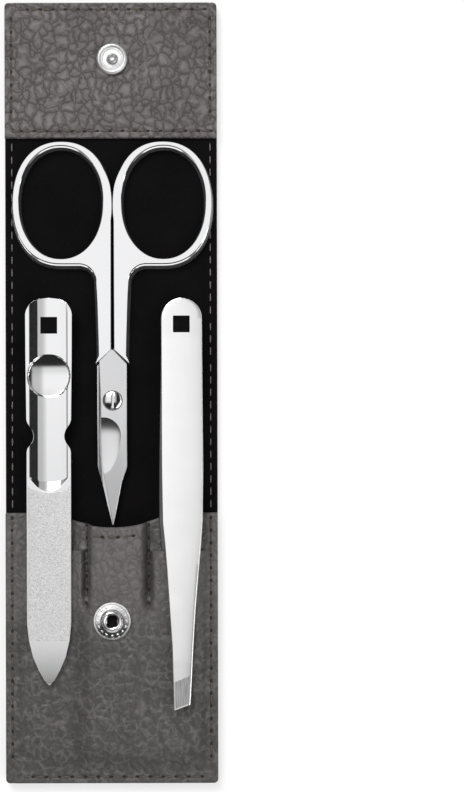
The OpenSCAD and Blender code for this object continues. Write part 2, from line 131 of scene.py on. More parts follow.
def settle(piece):
    """Puts the piece's place, turn and size into its mesh."""
    pick(piece)
    bpy.ops.object.transform_apply(location=True, rotation=True, scale=True)
    return piece


def apply_modifiers(piece):
    pick(piece)
    for modifier in list(piece.modifiers):
        bpy.ops.object.modifier_apply(modifier=modifier.name)
    return piece


def join(pieces):
    pick(*pieces)
    if len(pieces) > 1:
        bpy.ops.object.join()
    return pieces[0]


def edit(piece):
    """Opens the piece's mesh for editing, with all of it selected."""
    pick(piece)
    bpy.ops.object.mode_set(mode="EDIT")
    bpy.ops.mesh.select_all(action="SELECT")
    return piece


def close_outwards(piece):
    """Points every face of the opened piece outwards and leaves edit mode."""
    bpy.ops.mesh.select_all(action="SELECT")
    bpy.ops.mesh.normals_make_consistent(inside=False)
    bpy.ops.object.mode_set(mode="OBJECT")
    return piece


def face_outwards(piece):
    return close_outwards(edit(piece))


def merge_doubles(piece):
    edit(piece)
    bpy.ops.mesh.remove_doubles(threshold=SAME_PLACE)
    return close_outwards(piece)


def smooth(piece, degrees=35):
    pick(piece)
    bpy.ops.object.shade_smooth_by_angle(angle=math.radians(degrees))
    return piece


def even_out(piece):
    """Lets the wide flat faces set the shading, so that narrow rounded edges don't bend it."""
    normals = piece.modifiers.new("normals", "WEIGHTED_NORMAL")
    normals.weight = 100
    normals.keep_sharp = True
    return apply_modifiers(piece)


def soften_edges(piece, width, segments=3, degrees=30):
    """Rounds the sharp edges of a hard piece."""
    bevel = piece.modifiers.new("edges", "BEVEL")
    bevel.width = width * MM
    bevel.segments = segments
    bevel.limit_method = "ANGLE"
    bevel.angle_limit = math.radians(degrees)
    bevel.use_clamp_overlap = True
    return apply_modifiers(piece)


def points_of(piece):
    """The piece's vertices in millimetres."""
    flat = np.empty(len(piece.data.vertices) * 3)
    piece.data.vertices.foreach_get("co", flat)
    return flat.reshape(-1, 3) / MM


def move_points(piece, points):
    piece.data.vertices.foreach_set("co", (np.asarray(points) * MM).ravel())
    piece.data.update()


def paint(piece, *materials):
    piece.data.materials.clear()
    for material in materials:
        piece.data.materials.append(material)


def hand_over(piece, name, body, replaced=(), bends=None):
    """Names the finished piece, fixes it to its body, or for a sheet across a fold puts its place into its
    mesh, and hides the parts that it replaces.
    """
    piece.name = name
    piece.data.name = name
    if bends:
        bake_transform(piece)
    else:
        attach(piece, body)
    if replaced:
        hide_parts(*replaced)
    return piece


# ---------- shapes ----------

def place_grid(columns, rows, place):
    """A grid whose corners are put where place(across, along) says; both run from 0 to 1."""
    deselect()
    bpy.ops.mesh.primitive_grid_add(x_subdivisions=columns, y_subdivisions=rows, size=2)
    piece = bpy.context.object
    flat = points_of(piece) * MM
    across = np.rint((flat[:, 0] + 1) / 2 * columns) / columns
    along = np.rint((flat[:, 1] + 1) / 2 * rows) / rows
    move_points(piece, np.column_stack(place(across, along)))
    return piece


def close_sheet(piece, underside):
    """Gives a sheet its thickness; underside(x, y, z) says how high its lower face lies."""
    top = points_of(piece)
    solid = piece.modifiers.new("thickness", "SOLIDIFY")
    solid.thickness = MM
    solid.offset = -1
    apply_modifiers(piece)
    points = points_of(piece)
    points[: len(top)] = top
    points[len(top):, :2] = top[:, :2]
    points[len(top):, 2] = underside(top[:, 0], top[:, 1], top[:, 2])
    move_points(piece, points)
    return piece


def flat_at(z):
    """A flat lower face for close_sheet."""
    return lambda px, py, pz: np.full_like(pz, z)


def spread(stops, t):
    """Values at t, where stops are evenly numbered places along a side."""
    return np.interp(t, np.linspace(0, 1, len(stops)), stops)


RIM_STEPS = np.array((0, 0.12, 0.3, 0.55, 0.9))


def edge_steps(a, b, step, rim_a=True, rim_b=True):
    """Places from a to b, close together beside the ends that are rims."""
    start = a + RIM_STEPS[:-1] if rim_a else np.array([])
    stop = (b - RIM_STEPS[:-1])[::-1] if rim_b else np.array([])
    x0 = a + RIM_STEPS[-1] if rim_a else a
    x1 = b - RIM_STEPS[-1] if rim_b else b
    inner = np.linspace(x0, x1, max(2, round((x1 - x0) / step)))
    return np.concatenate([start, inner, stop])


def round_case(x, y, y0, y1, at_y0, at_y1):
    """Moves the grid's square corners onto the case's round ones."""
    x, y = x.copy(), y.copy()
    for side in (-1, 1):
        for end, wanted in ((y0, at_y0), (y1, at_y1)):
            if not wanted:
                continue
            way = 1 if end == y1 else -1
            u = side * x - (HALF_W - CORNER_R)
            v = way * y - (way * end - CORNER_R)
            corner = (u > 0) & (v > 0)
            length = np.hypot(u, v)
            factor = np.where(corner, np.maximum(u, v) / np.maximum(length, 1e-9), 1)
            x = np.where(corner, side * (HALF_W - CORNER_R + u * factor), x)
            y = np.where(corner, way * (way * end - CORNER_R + v * factor), y)
    return x, y


def from_edge(x, y, y0, y1, at_y0, at_y1):
    """Distance of each point to the nearest free edge of a straight-sided sheet."""
    distance = HALF_W - np.abs(x)
    if at_y0:
        distance = np.minimum(distance, y - y0)
    if at_y1:
        distance = np.minimum(distance, y1 - y)
    return distance


def roll_down(distance, radius):
    """How far a rounded edge lies below the face, at a distance from the edge."""
    t = np.clip(distance / radius, 0, 1)
    return radius * (1 - np.sqrt(1 - (1 - t) ** 2))


def groove(distance, depth, width):
    return -depth * np.exp(-(distance / width) ** 2)


def draw_up(height):
    """Extrudes what is selected upwards."""
    bpy.ops.mesh.extrude_region_move(TRANSFORM_OT_translate={"value": (0, 0, height * MM)})


def cut_plate(outline, z0, z1):
    """A flat plate of a given outline: a ring of points, filled and extruded upwards."""
    deselect()
    bpy.ops.mesh.primitive_circle_add(vertices=len(outline), radius=1, fill_type="NGON")
    plate = bpy.context.object
    x, y, _ = points_of(plate).T
    order = np.argsort(np.mod(np.arctan2(y, x) + 1e-4, 2 * math.pi))
    points = np.empty((len(outline), 3))
    points[order, :2] = outline
    points[:, 2] = z0
    move_points(plate, points)
    edit(plate)
    draw_up(z1 - z0)
    return close_outwards(plate)


def carve(piece, *cutters):
    """Cuts other shapes out of a piece and deletes them."""
    for cutter in cutters:
        cut = piece.modifiers.new("cut", "BOOLEAN")
        cut.operation = "DIFFERENCE"
        cut.solver = "EXACT"
        cut.object = cutter
        apply_modifiers(piece)
        bpy.data.objects.remove(cutter)
    return piece


def arc(centre, rx, ry, start, stop, count=24):
    angles = np.radians(np.linspace(start, stop, count + 1))
    return [(centre[0] + rx * math.cos(a), centre[1] + ry * math.sin(a)) for a in angles]


def turned(profile, centre, segments=64):
    """A turned part: a disc that is drawn out and in along (radius, height) steps."""
    deselect()
    radius, height = profile[0]
    bpy.ops.mesh.primitive_circle_add(
        vertices=segments, radius=radius * MM, fill_type="NGON",
        location=(centre[0] * MM, centre[1] * MM, height * MM))
    part = bpy.context.object
    edit(settle(part))
    for next_radius, next_height in profile[1:]:
        draw_up(next_height - height)
        factor = next_radius / radius
        if abs(factor - 1) > 1e-6:
            bpy.ops.transform.resize(value=(factor, factor, 1))
        radius, height = next_radius, next_height
    return close_outwards(part)


def ball(segments, rings, place):
    """A ball of radius 1 whose points are put where place(points) says."""
    deselect()
    bpy.ops.mesh.primitive_uv_sphere_add(segments=segments, ring_count=rings, radius=1)
    piece = bpy.context.object
    move_points(piece, place(points_of(piece) * MM))
    return piece


def tube_along(columns, rows, place):
    """A grid rolled into a closed bar: place(around, along) gives its skin; the ends are filled."""
    bar = edit(place_grid(columns, rows, place))
    bpy.ops.mesh.remove_doubles(threshold=SAME_PLACE)
    bpy.ops.mesh.select_all(action="DESELECT")
    bpy.ops.mesh.select_non_manifold()
    bpy.ops.mesh.fill()
    return close_outwards(bar)


def copies(model, places):
    """Copies one small part to every (x, y, z, turn in degrees) and joins them."""
    made = []
    for x, y, z, turn in places:
        piece = model.copy()
        piece.data = model.data.copy()
        bpy.context.scene.collection.objects.link(piece)
        piece.location = (x * MM, y * MM, z * MM)
        piece.rotation_euler = (0, 0, math.radians(turn))
        made.append(piece)
    bpy.data.objects.remove(model)
    return settle(join(made))


def around(centre, radius, count, z):
    """Places on a ring, each turned to face outwards."""
    turns = [360 * i / count for i in range(count)]
    return [(centre[0] + radius * math.cos(math.radians(turn)),
             centre[1] + radius * math.sin(math.radians(turn)), z, turn) for turn in turns]


# ---------- materials ----------

def put(tree, socket, value):
    """Links a socket to another node's output, or sets it to a constant."""
    if isinstance(value, bpy.types.NodeSocket):
        tree.links.new(value, socket)
    else:
        socket.default_value = value


def feed(tree, node, **values):
    """Puts values on a node's sockets: i0 is its first, any other is named with underscores."""
    for key, value in values.items():
        numbered = key[0] == "i" and key[1:].isdigit()
        put(tree, node.inputs[int(key[1:]) if numbered else key.replace("_", " ")], value)


def add_node(tree, kind, **settings):
    """Adds a node; a setting that names a property sets it, any other goes to a socket."""
    node = tree.nodes.new(kind)
    own = [key for key in settings if hasattr(node, key)]
    for key in own:
        setattr(node, key, settings[key])
    feed(tree, node, **{key: value for key, value in settings.items() if key not in own})
    return node


def maths(tree, operation, a, b=0.0, c=0.0):
    return add_node(tree, "ShaderNodeMath", operation=operation, i0=a, i1=b, i2=c).outputs[0]


def remap(tree, value, a, b, c=0.0, d=1.0):
    return add_node(tree, "ShaderNodeMapRange", interpolation_type="SMOOTHSTEP", Value=value,
                    From_Min=a, From_Max=b, To_Min=c, To_Max=d).outputs[0]


def times(tree, product, *factors):
    for factor in factors:
        product = maths(tree, "MULTIPLY", product, factor)
    return product


def noise(tree, place, scale, detail, roughness=0.5, output=0):
    """Cloudy noise; output 0 is its value and 1 its colour."""
    return add_node(tree, "ShaderNodeTexNoise", Vector=place, Scale=scale, Detail=detail,
                    Roughness=roughness).outputs[output]


def bumps(tree, height, strength, depth, **more):
    """Normals of a bumpy face; depth is in millimetres."""
    return add_node(tree, "ShaderNodeBump", Strength=strength, Distance=depth * MM, Height=height,
                    **more).outputs[0]


def shaded(factor, colour):
    return tuple(factor * c for c in colour)


def tint(tree, factor, a, b, blend="MIX"):
    """Mixes two colours, each of them a socket or three numbers."""
    a, b = ((*colour, 1) if isinstance(colour, tuple) else colour for colour in (a, b))
    return add_node(tree, "ShaderNodeMix", data_type="RGBA", blend_type=blend,
                    i0=factor, i6=a, i7=b).outputs[2]


def new_material(name, **shader):
    """A material with its shader's sockets set, the tree, the shader and the object's coordinates."""
    material = bpy.data.materials.new(name)
    material.use_nodes = True
    tree = material.node_tree
    surface = tree.nodes["Principled BSDF"]
    feed(tree, surface, **shader)
    place = tree.nodes.new("ShaderNodeTexCoord").outputs["Object"]
    return material, tree, surface, place


def linear(r, g, b):
    """The shader's value of a colour that is named as 0 to 255 on a screen."""
    return tuple(((c / 255 + 0.055) / 1.055) ** 2.4 if c > 10 else c / 255 / 12.92 for c in (r, g, b))


def grain(tree, place, cell, wander, crease, seed, fade=(0.58, 0.76)):
    """Height of pebbled leather: 1 on a pebble and 0 in the creases; cell is its size in metres."""
    scaled = add_node(tree, "ShaderNodeVectorMath", operation="MULTIPLY_ADD", i0=place,
                      i1=tuple(1 / c for c in cell), i2=(seed,) * 3).outputs[0]
    shift = scaled
    for scale, reach in ((0.8, 2 * wander), (3.2, 0.24)):
        drift = noise(tree, scaled, scale, 2.0, output="Color")
        shift = add_node(tree, "ShaderNodeVectorMath", operation="MULTIPLY_ADD", i0=drift,
                         i1=(reach,) * 3, i2=shift).outputs[0]
    cells = add_node(tree, "ShaderNodeTexVoronoi", feature="DISTANCE_TO_EDGE", Vector=shift, Scale=1.0)
    height = remap(tree, cells.outputs["Distance"], 0.0, crease)
    return maths(tree, "MAXIMUM", height, remap(tree, noise(tree, shift, 0.9, 1.0), *fade))


def emboss(piece, depth, mask, cell, wander, crease, seed):
    """Raises the grain out of the sheet's good face, as deep as the mask lets it at each point."""
    mask = np.concatenate([mask, np.zeros(len(piece.data.vertices) - len(mask))])
    relief = piece.data.attributes.new("relief", "FLOAT", "POINT")
    relief.data.foreach_set("value", mask.astype(np.float32))
    tree = bpy.data.node_groups.new("grain", "GeometryNodeTree")
    for way in ("INPUT", "OUTPUT"):
        tree.interface.new_socket("Geometry", in_out=way, socket_type="NodeSocketGeometry")
    start = tree.nodes.new("NodeGroupInput")
    stop = tree.nodes.new("NodeGroupOutput")
    place = tree.nodes.new("GeometryNodeInputPosition").outputs[0]
    normal = tree.nodes.new("GeometryNodeInputNormal").outputs[0]
    weight = add_node(tree, "GeometryNodeInputNamedAttribute", data_type="FLOAT", Name="relief").outputs[0]
    height = maths(tree, "SUBTRACT", grain(tree, place, cell, wander, crease * 1.4, seed), 0.75)
    height = times(tree, height, weight, depth * MM)
    offset = add_node(tree, "ShaderNodeVectorMath", operation="SCALE", i0=normal, Scale=height).outputs[0]
    moved = add_node(tree, "GeometryNodeSetPosition", Geometry=start.outputs[0], Offset=offset)
    tree.links.new(moved.outputs[0], stop.inputs[0])
    modifier = piece.modifiers.new("grain", "NODES")
    modifier.node_group = tree
    apply_modifiers(piece)
    piece.data.attributes.remove(piece.data.attributes["relief"])
    return piece


def leather_material(name, colour, crease_tone_and_shade, bump, cell, wander, crease, seed,
                     rough=0.5, shine=0.4, wrinkle_highlight=0.0, low_shade=1.0):
    """Pebbled cowhide: creases darker than the pebbles, partly their own tone and partly painted shade, fine
    pores, and painted highlights along the wrinkles.
    """
    material, tree, surface, place = new_material(name, Specular_IOR_Level=shine)
    height = grain(tree, place, cell, wander, crease * 1.6, seed)
    core = grain(tree, place, cell, wander, crease * 0.45, seed, fade=(0.52, 0.7))
    cloud = remap(tree, noise(tree, place, 90.0, 3.0), 0.3, 0.7)
    pores = noise(tree, place, 2600.0, 4.0, 0.6)
    shade = tint(tree, cloud, shaded(0.86, colour), shaded(1.12, colour))
    # The creases are darkened: partly the grain's own tone, partly painted shade
    for raised, share in ((height, 0.34), (core, 0.85)):
        shade = tint(tree, times(tree, maths(tree, "SUBTRACT", 1.0, raised), share), shade, crease_tone_and_shade)
    shade = tint(tree, remap(tree, pores, 0.25, 0.75, 0.0, 0.35), shade, shaded(0.55, colour))
    # Towards the pocket's lower end the leather can be darkened with painted shade, and the painted highlights
    # along its wrinkles show more
    lower = remap(tree, add_node(tree, "ShaderNodeSeparateXYZ", Vector=place).outputs[1], -0.046, -0.06)
    if low_shade < 1:
        shade = tint(tree, lower, shade, (low_shade,) * 3, blend="MULTIPLY")
    # Painted highlights: a lighter colour along the lines of the wrinkles
    if wrinkle_highlight:
        lines = grain(tree, place, tuple(1.2 * c for c in cell), wander, crease * 0.6, seed + 7.3,
                      fade=(0.45, 0.6))
        light = times(tree, maths(tree, "SUBTRACT", 1.0, lines), wrinkle_highlight)
        if low_shade < 1:
            light = times(tree, light, remap(tree, lower, 0.0, 1.0, 0.4, 1.0))
        shade = tint(tree, light, shade, tuple(min(1, 2.2 * c) for c in colour))
    normal = bumps(tree, pores, 0.35, 0.03, Normal=bumps(tree, height, 1.0, bump))
    feed(tree, surface, Base_Color=shade, Normal=normal,
         Roughness=remap(tree, height, 0.0, 1.0, min(1, rough + 0.2), rough))
    return material


def velour_material(name, colour):
    """Short napped cloth, nearly black."""
    material, tree, surface, place = new_material(
        name, Roughness=0.95, Specular_IOR_Level=0.06, Sheen_Weight=0.06, Sheen_Roughness=0.5)
    nap = noise(tree, place, 3800.0, 5.0, 0.7)
    brushed = remap(tree, noise(tree, place, 110.0, 3.0), 0.3, 0.7)
    shade = tint(tree, brushed, shaded(0.7, colour), shaded(1.35, colour))
    shade = tint(tree, remap(tree, nap, 0.35, 0.7, 0.0, 0.7), shade, shaded(2.0, colour))
    feed(tree, surface, Base_Color=shade, Normal=bumps(tree, nap, 0.8, 0.06))
    return material


def thread_material(name, colour):
    """Twisted sewing thread."""
    material, tree, surface, place = new_material(name, Roughness=0.6, Specular_IOR_Level=0.3)
    twist = add_node(tree, "ShaderNodeTexWave", Vector=place, Scale=900.0, Distortion=1.5, Detail=1.0,
                     bands_direction="DIAGONAL").outputs[1]
    shade = tint(tree, twist, shaded(0.6, colour), shaded(1.15, colour))
    feed(tree, surface, Base_Color=shade, Normal=bumps(tree, twist, 0.5, 0.04))
    return material


def steel_material(name, rough, colour=(0.86, 0.86, 0.87), tip=False):
    """Polished steel with a faint haze; tip adds the tweezers' ground facet, darker partly for its ground
    finish and partly as painted shade.
    """
    material, tree, surface, place = new_material(name, Metallic=1.0, Base_Color=(*colour, 1))
    dull = remap(tree, noise(tree, place, 160.0, 2.0), 0.3, 0.7, rough * 0.92, rough * 1.08)
    if tip:
        # The facet's dark streaky colour is partly its ground finish, partly painted shade for its sloping face
        facet = facet_mask(tree, place)
        streaks = add_node(tree, "ShaderNodeVectorMath", operation="MULTIPLY", i0=place,
                           i1=(5200.0, 180.0, 100.0)).outputs[0]
        streaks = remap(tree, noise(tree, streaks, 1.0, 3.0), 0.3, 0.7)
        ground = tint(tree, streaks, (0.28,) * 3, (0.56,) * 3)
        feed(tree, surface, Base_Color=tint(tree, facet, colour, ground))
        dull = maths(tree, "MULTIPLY_ADD", facet, 0.25, dull)
    feed(tree, surface, Roughness=dull)
    return material


def snap_material(name, centre_y, rings, knurl, colour, rough):
    """Turned steel with fine dark rings round the snap's axis, painted shade for its grooves and edges, and a
    knurled band with painted shade between its teeth, in millimetres.
    """
    material, tree, surface, place = new_material(name, Metallic=1.0)
    parts = add_node(tree, "ShaderNodeSeparateXYZ", Vector=place)
    x = maths(tree, "SUBTRACT", parts.outputs[0], SNAP_X * MM)
    y = maths(tree, "SUBTRACT", parts.outputs[1], centre_y * MM)
    far = maths(tree, "SQRT", maths(tree, "ADD", times(tree, x, x), times(tree, y, y)))
    haze = noise(tree, place, 900.0, 3.0)
    shade = tint(tree, remap(tree, haze, 0.3, 0.7), shaded(0.88, colour), colour)
    # Painted shade: a dark ring at each groove or edge of the turned steel
    for radius, width, depth in rings:
        off = maths(tree, "ABSOLUTE", maths(tree, "SUBTRACT", far, radius * MM))
        line = times(tree, remap(tree, off, 0.0, width * MM, 1.0, 0.0), depth)
        shade = tint(tree, line, shade, (0.06,) * 3)
    inner, outer, teeth = knurl
    ridges = maths(tree, "SINE", times(tree, maths(tree, "ARCTAN2", y, x), float(teeth)))
    band = times(tree, remap(tree, far, (inner - 0.1) * MM, inner * MM),
                 remap(tree, far, outer * MM, (outer + 0.1) * MM, 1.0, 0.0))
    # Painted shade between the knurl's teeth
    shade = tint(tree, times(tree, remap(tree, ridges, -0.6, 0.8, 0.45, 0.0), band), shade, (0.1,) * 3)
    feed(tree, surface, Base_Color=shade,
         Roughness=remap(tree, haze, 0.3, 0.7, rough * 0.9, rough * 1.1))
    return material


def facet_mask(tree, place):
    """1 on the slanted facet at the tweezers' tip and 0 on its polished outline."""
    parts = add_node(tree, "ShaderNodeSeparateXYZ", Vector=place)
    x, y = parts.outputs[0], parts.outputs[1]
    rim = 0.3 * MM
    end = maths(tree, "MULTIPLY_ADD", x, 0.415, (-66.8 - 0.415 * 15.2) * MM)
    left = maths(tree, "MULTIPLY_ADD", y, -0.0276, (14.3 - 0.0276 * 59) * MM + rim)
    right = maths(tree, "MULTIPLY_ADD", y, 0.0483, (19.2 + 0.0483 * 59) * MM - rim)
    foot = maths(tree, "MULTIPLY_ADD", x, 0.368, (-73.5 - 0.368 * 14.7) * MM + rim)
    insides = ((end, y), (x, left), (right, x), (y, foot))
    return times(tree, *(remap(tree, maths(tree, "SUBTRACT", a, b), 0.0, 0.1 * MM) for a, b in insides))


def enamel_material(name, colour, rough=0.25, coat=0.5):
    """Hard black enamel or etched black, with a faint cloud in it."""
    material, tree, surface, place = new_material(
        name, Coat_Weight=coat, Coat_Roughness=0.1, Specular_IOR_Level=0.05 + 0.7 * coat)
    cloud = noise(tree, place, 1200.0, 3.0)
    feed(tree, surface, Base_Color=tint(tree, cloud, shaded(0.7, colour), shaded(1.4, colour)),
         Roughness=remap(tree, cloud, 0.3, 0.7, rough * 0.8, min(1, rough * 1.2)))
    return material


def grit_material(name):
    """Fine abrasive grains on steel."""
    material, tree, surface, place = new_material(name, Metallic=0.55, Roughness=0.55)
    grains = noise(tree, place, 6500.0, 3.0, 0.7)
    patches = remap(tree, noise(tree, place, 1500.0, 2.0), 0.4, 0.75, 0.0, 0.3)
    shade = tint(tree, remap(tree, grains, 0.36, 0.64), linear(172, 172, 172), linear(232, 232, 232))
    shade = tint(tree, patches, shade, linear(150, 150, 150))
    feed(tree, surface, Base_Color=shade, Normal=bumps(tree, grains, 0.5, 0.03))
    return material


def board_material(name):
    """Grey pasteboard."""
    material, tree, surface, place = new_material(name, Roughness=0.9)
    fibres = noise(tree, place, 1400.0, 4.0)
    feed(tree, surface, Base_Color=tint(tree, fibres, linear(118, 106, 92), linear(158, 146, 128)))
    return material


FACING_GRAIN = dict(cell=(0.0022, 0.0027, 0.01), wander=0.45, crease=0.22, seed=3.1)
POCKET_GRAIN = dict(cell=(0.0021, 0.0024, 0.009), wander=0.6, crease=0.22, seed=1.7)
OUTER_GRAIN = dict(cell=(0.0036, 0.0019, 0.01), wander=0.7, crease=0.2, seed=5.9)

MATERIALS = {}


def finishes():
    """How each finish is made: by which function, and with what besides its name."""
    looks = bpy.context.scene.manicure_looks
    leather = tuple(looks.leather_colour)
    return {
        "outer leather": (leather_material, dict(
            colour=leather, crease_tone_and_shade=shaded(0.5, leather), bump=0.14, wrinkle_highlight=0.1, **OUTER_GRAIN)),
        "pocket leather": (leather_material, dict(
            colour=shaded(0.8, leather), crease_tone_and_shade=shaded(0.5, leather), bump=0.12, wrinkle_highlight=0.22,
            rough=0.48, shine=0.45, low_shade=0.66, **POCKET_GRAIN)),
        "facing leather": (leather_material, dict(
            colour=shaded(1.13, leather), crease_tone_and_shade=shaded(0.25, leather), bump=0.34, rough=0.6,
            shine=0.3, **FACING_GRAIN)),
        "velour": (velour_material, dict(colour=tuple(looks.lining_colour))),
        "leather thread": (thread_material, dict(colour=linear(84, 76, 68))),
        # Painted shade: the dark colour of the needle holes
        "needle hole": (thread_material, dict(colour=linear(34, 29, 26))),
        "lining thread": (thread_material, dict(colour=linear(112, 106, 103))),
        "stud steel": (snap_material, dict(
            centre_y=STUD_Y, rings=((3.12, 0.16, 0.55), (1.28, 0.24, 0.8), (2.75, 0.1, 0.25)),
            knurl=(1.9, 2.7, 60), colour=(0.74,) * 3, rough=0.42)),
        "socket steel": (snap_material, dict(
            centre_y=SNAP_Y, rings=((3.84, 0.08, 0.5), (2.62, 0.2, 0.6), (1.95, 0.12, 0.45)),
            knurl=(2.1, 2.4, 36), colour=(0.96,) * 3, rough=0.16)),
        # Painted shade: black for the snap socket's post and bore
        "post black": (enamel_material, dict(colour=linear(16, 15, 15), rough=0.6, coat=0.0)),
        "badge enamel": (enamel_material, dict(colour=linear(24, 24, 24))),
        "black mark": (enamel_material, dict(colour=linear(10, 10, 10), rough=0.85, coat=0.0)),
        "spring wire": (steel_material, dict(rough=0.2, colour=(0.75, 0.7, 0.6))),
        "rivet steel": (steel_material, dict(rough=0.4, colour=(0.1,) * 3)),
        "badge chrome": (steel_material, dict(rough=looks.polish, colour=(0.9,) * 3)),
        "mirror steel": (steel_material, dict(rough=looks.polish)),
        "blade steel": (steel_material, dict(rough=0.2, colour=(0.74, 0.74, 0.75))),
        "forged steel": (steel_material, dict(rough=0.5, colour=(0.3,) * 3)),
        "screw steel": (steel_material, dict(rough=looks.polish * 1.2, colour=(0.8, 0.8, 0.81))),
        "file steel": (steel_material, dict(rough=looks.polish * 0.9)),
        "satin steel": (steel_material, dict(rough=0.2, colour=(0.95,) * 3, tip=True)),
        "inner steel": (steel_material, dict(rough=0.3, colour=(0.22,) * 3)),
        "grit": (grit_material, {}),
        "board": (board_material, {}),
    }


def material(name):
    """Makes a finish the first time that a piece asks for it."""
    if name not in MATERIALS:
        maker, settings = finishes()[name]
        MATERIALS[name] = maker(name, **settings)
    return MATERIALS[name]


# ---------- leather, lining and board ----------

# A span says where a sheet starts and ends along the case, and which of the two ends are free
FLAP_FACING_SPAN = (FACING_Y, END_Y, True, True)
# Each half of the case: its CAD parts, its span, the bodies it bends between and their fold
HALVES = (
    ("back", ("back", "spine"), (-END_Y, SPINE_MID_Y, True, False), ("case_back", "spine"), FOLD_Y),
    ("flap", ("flap",), (SPINE_MID_Y, END_Y, False, True), ("spine", "flap"), SPINE_END_Y),
)
FOLD_REACH = 1.6
BOARD_INSET = 3.1
BOARD_ROOM = 0.42
SPINE_ROOM = 5


def case_panel(span, step, top, underneath=False, square_y0=False):
    """A rounded sheet of the case; its good face is up, or down if underneath."""
    y0, y1, at_y0, at_y1 = span
    xs = edge_steps(-HALF_W, HALF_W, step)
    ys = edge_steps(y0, y1, step, at_y0, at_y1)

    def place(across, along):
        x, y = spread(xs, across), spread(ys, along)
        drop = roll_down(from_edge(x, y, *span), 0.45)
        x, y = round_case(x, y, y0, y1, at_y0 and not square_y0, at_y1)
        return x, y, (top + drop if underneath else top - drop)

    return place_grid(len(xs) - 1, len(ys) - 1, place)


def stitched_mask(x, y, rows, span):
    """1 on open leather, less beside the edges and along the seams."""
    mask = np.clip((from_edge(x, y, *span) - 0.3) / 0.5, 0, 1)
    for near in rows:
        mask = mask * (1 - 0.8 * np.exp(-(near / 0.6) ** 2))
    return mask


def bend_over(bodies, fold):
    """A sheet's two bodies, and where its bend from one to the other starts and ends."""
    return (*bodies, (0, (fold - FOLD_REACH) * MM, FLOOR_Z * MM), (0, (fold + FOLD_REACH) * MM, FLOOR_Z * MM))


class MANICURE_OT_outer_leather(bpy.types.Operator):
    """Makes the outer leather in two halves that meet at the spine"""
    bl_idname = "manicure.outer_leather"
    bl_label = "Outer Leather"

    def execute(self, context):
        step = context.scene.manicure_sizes.leather_step
        for half, parts, span, bodies, fold in HALVES:
            piece = case_panel(span, step, SKIN_Z, underneath=True)
            points = points_of(piece)
            x, y = points[:, 0], points[:, 1]
            rows = [STITCH_X - np.abs(x), y + STITCH_END_Y if half == "back" else STITCH_END_Y - y]
            for near in rows:
                points[:, 2] -= groove(near, 0.1, 0.45)
            move_points(piece, points)
            mask = stitched_mask(x, y, rows, span)

            def inner(px, py, pz):
                boarded = (from_edge(px, py, *span) > BOARD_INSET) & (np.abs(py - SPINE_MID_Y) > SPINE_ROOM)
                return np.where(boarded, LINING_Z - BOARD_ROOM, LINING_Z)

            face_outwards(close_sheet(piece, inner))
            emboss(piece, 0.16, mask, **OUTER_GRAIN)
            paint(piece, material("outer leather"))
            smooth(piece, 50)
            hand_over(piece, f"outer_leather_{half}", None,
                      [f"{part}_leather" for part in parts], bends=bend_over(bodies, fold))
        return {"FINISHED"}


class MANICURE_OT_lining(bpy.types.Operator):
    """Makes the velour lining in two halves that meet at the spine"""
    bl_idname = "manicure.lining"
    bl_label = "Lining"

    def execute(self, context):
        step = context.scene.manicure_sizes.lining_step
        for half, parts, span, bodies, fold in HALVES:
            piece = case_panel(span, step, FLOOR_Z)
            points = points_of(piece)
            near = STITCH_X - np.abs(points[:, 0])
            open_part = (points[:, 1] > -28.5) & (points[:, 1] < FACING_Y)
            points[:, 2] += np.where(open_part, groove(near, 0.12, 0.4), 0)
            move_points(piece, points)
            face_outwards(close_sheet(piece, flat_at(LINING_Z)))
            paint(piece, material("velour"))
            smooth(piece, 50)
            hand_over(piece, f"velour_lining_{half}", None,
                      [f"{part}_lining" for part in parts], bends=bend_over(bodies, fold))
        return {"FINISHED"}


class MANICURE_OT_facing(bpy.types.Operator):
    """Makes the pebbled leather facing at the end of the flap"""
    bl_idname = "manicure.facing"
    bl_label = "Flap Facing"

    def execute(self, context):
        step = context.scene.manicure_sizes.facing_step
        piece = case_panel(FLAP_FACING_SPAN, step, FACING_TOP, square_y0=True)
        points = points_of(piece)
        x, y = points[:, 0], points[:, 1]
        rows = [STITCH_X - np.abs(x), STITCH_END_Y - y, y - FACING_Y - FACING_SEAM_INSET]
        for near, depth in zip(rows, (0.16, 0.16, 0.22)):
            points[:, 2] += groove(near, depth, 0.42)
        move_points(piece, points)
        mask = stitched_mask(x, y, rows, FLAP_FACING_SPAN)
        face_outwards(close_sheet(piece, flat_at(FLOOR_Z)))
        emboss(piece, 0.15, mask, **FACING_GRAIN)
        paint(piece, material("facing leather"))
        smooth(piece, 50)
        hand_over(piece, "flap_facing_leather", "flap", ("flap_facing",))
        return {"FINISHED"}


# ---------- the pocket ----------

LEFT_DIVIDER, RIGHT_DIVIDER = -5.8, 8.7
SLIT_Y, POCKET_TOP_Y, SCOOP_R = -36.8, -28.1, 29.5
LEFT_ROOM, MID_ROOM, RIGHT_ROOM = 1.2, 4.3, 3.6
BAG_TOP_Y = -39.0
# Only the lower end of the pocket's span is free, so its upper one lies beyond all points
BAG_SPAN = (-END_Y, 100, True, False)


def ease(t):
    t = np.clip(t, 0, 1)
    return t * t * (3 - 2 * t)


def pocket_room(x, y):
    """Room under the pocket's leather: the solid's, with softer slopes beside the seams."""
    left = LEFT_ROOM + (MID_ROOM - LEFT_ROOM) * ease((x + 9.4) / 5.2)
    right = MID_ROOM + (RIGHT_ROOM - MID_ROOM) * ease((x - 5) / 4)
    across = np.where(x < SNAP_X, left, right)
    room = across * ease((22.5 - np.abs(x)) / 2.8) * ease((y + 88.9) / 6.5)
    held = ease((y + 53) / 8)
    for divider in (LEFT_DIVIDER, RIGHT_DIVIDER):
        room = room * (1 - held * np.exp(-(np.maximum(np.abs(x - divider) - 0.2, 0) / 0.75) ** 2))
    return room


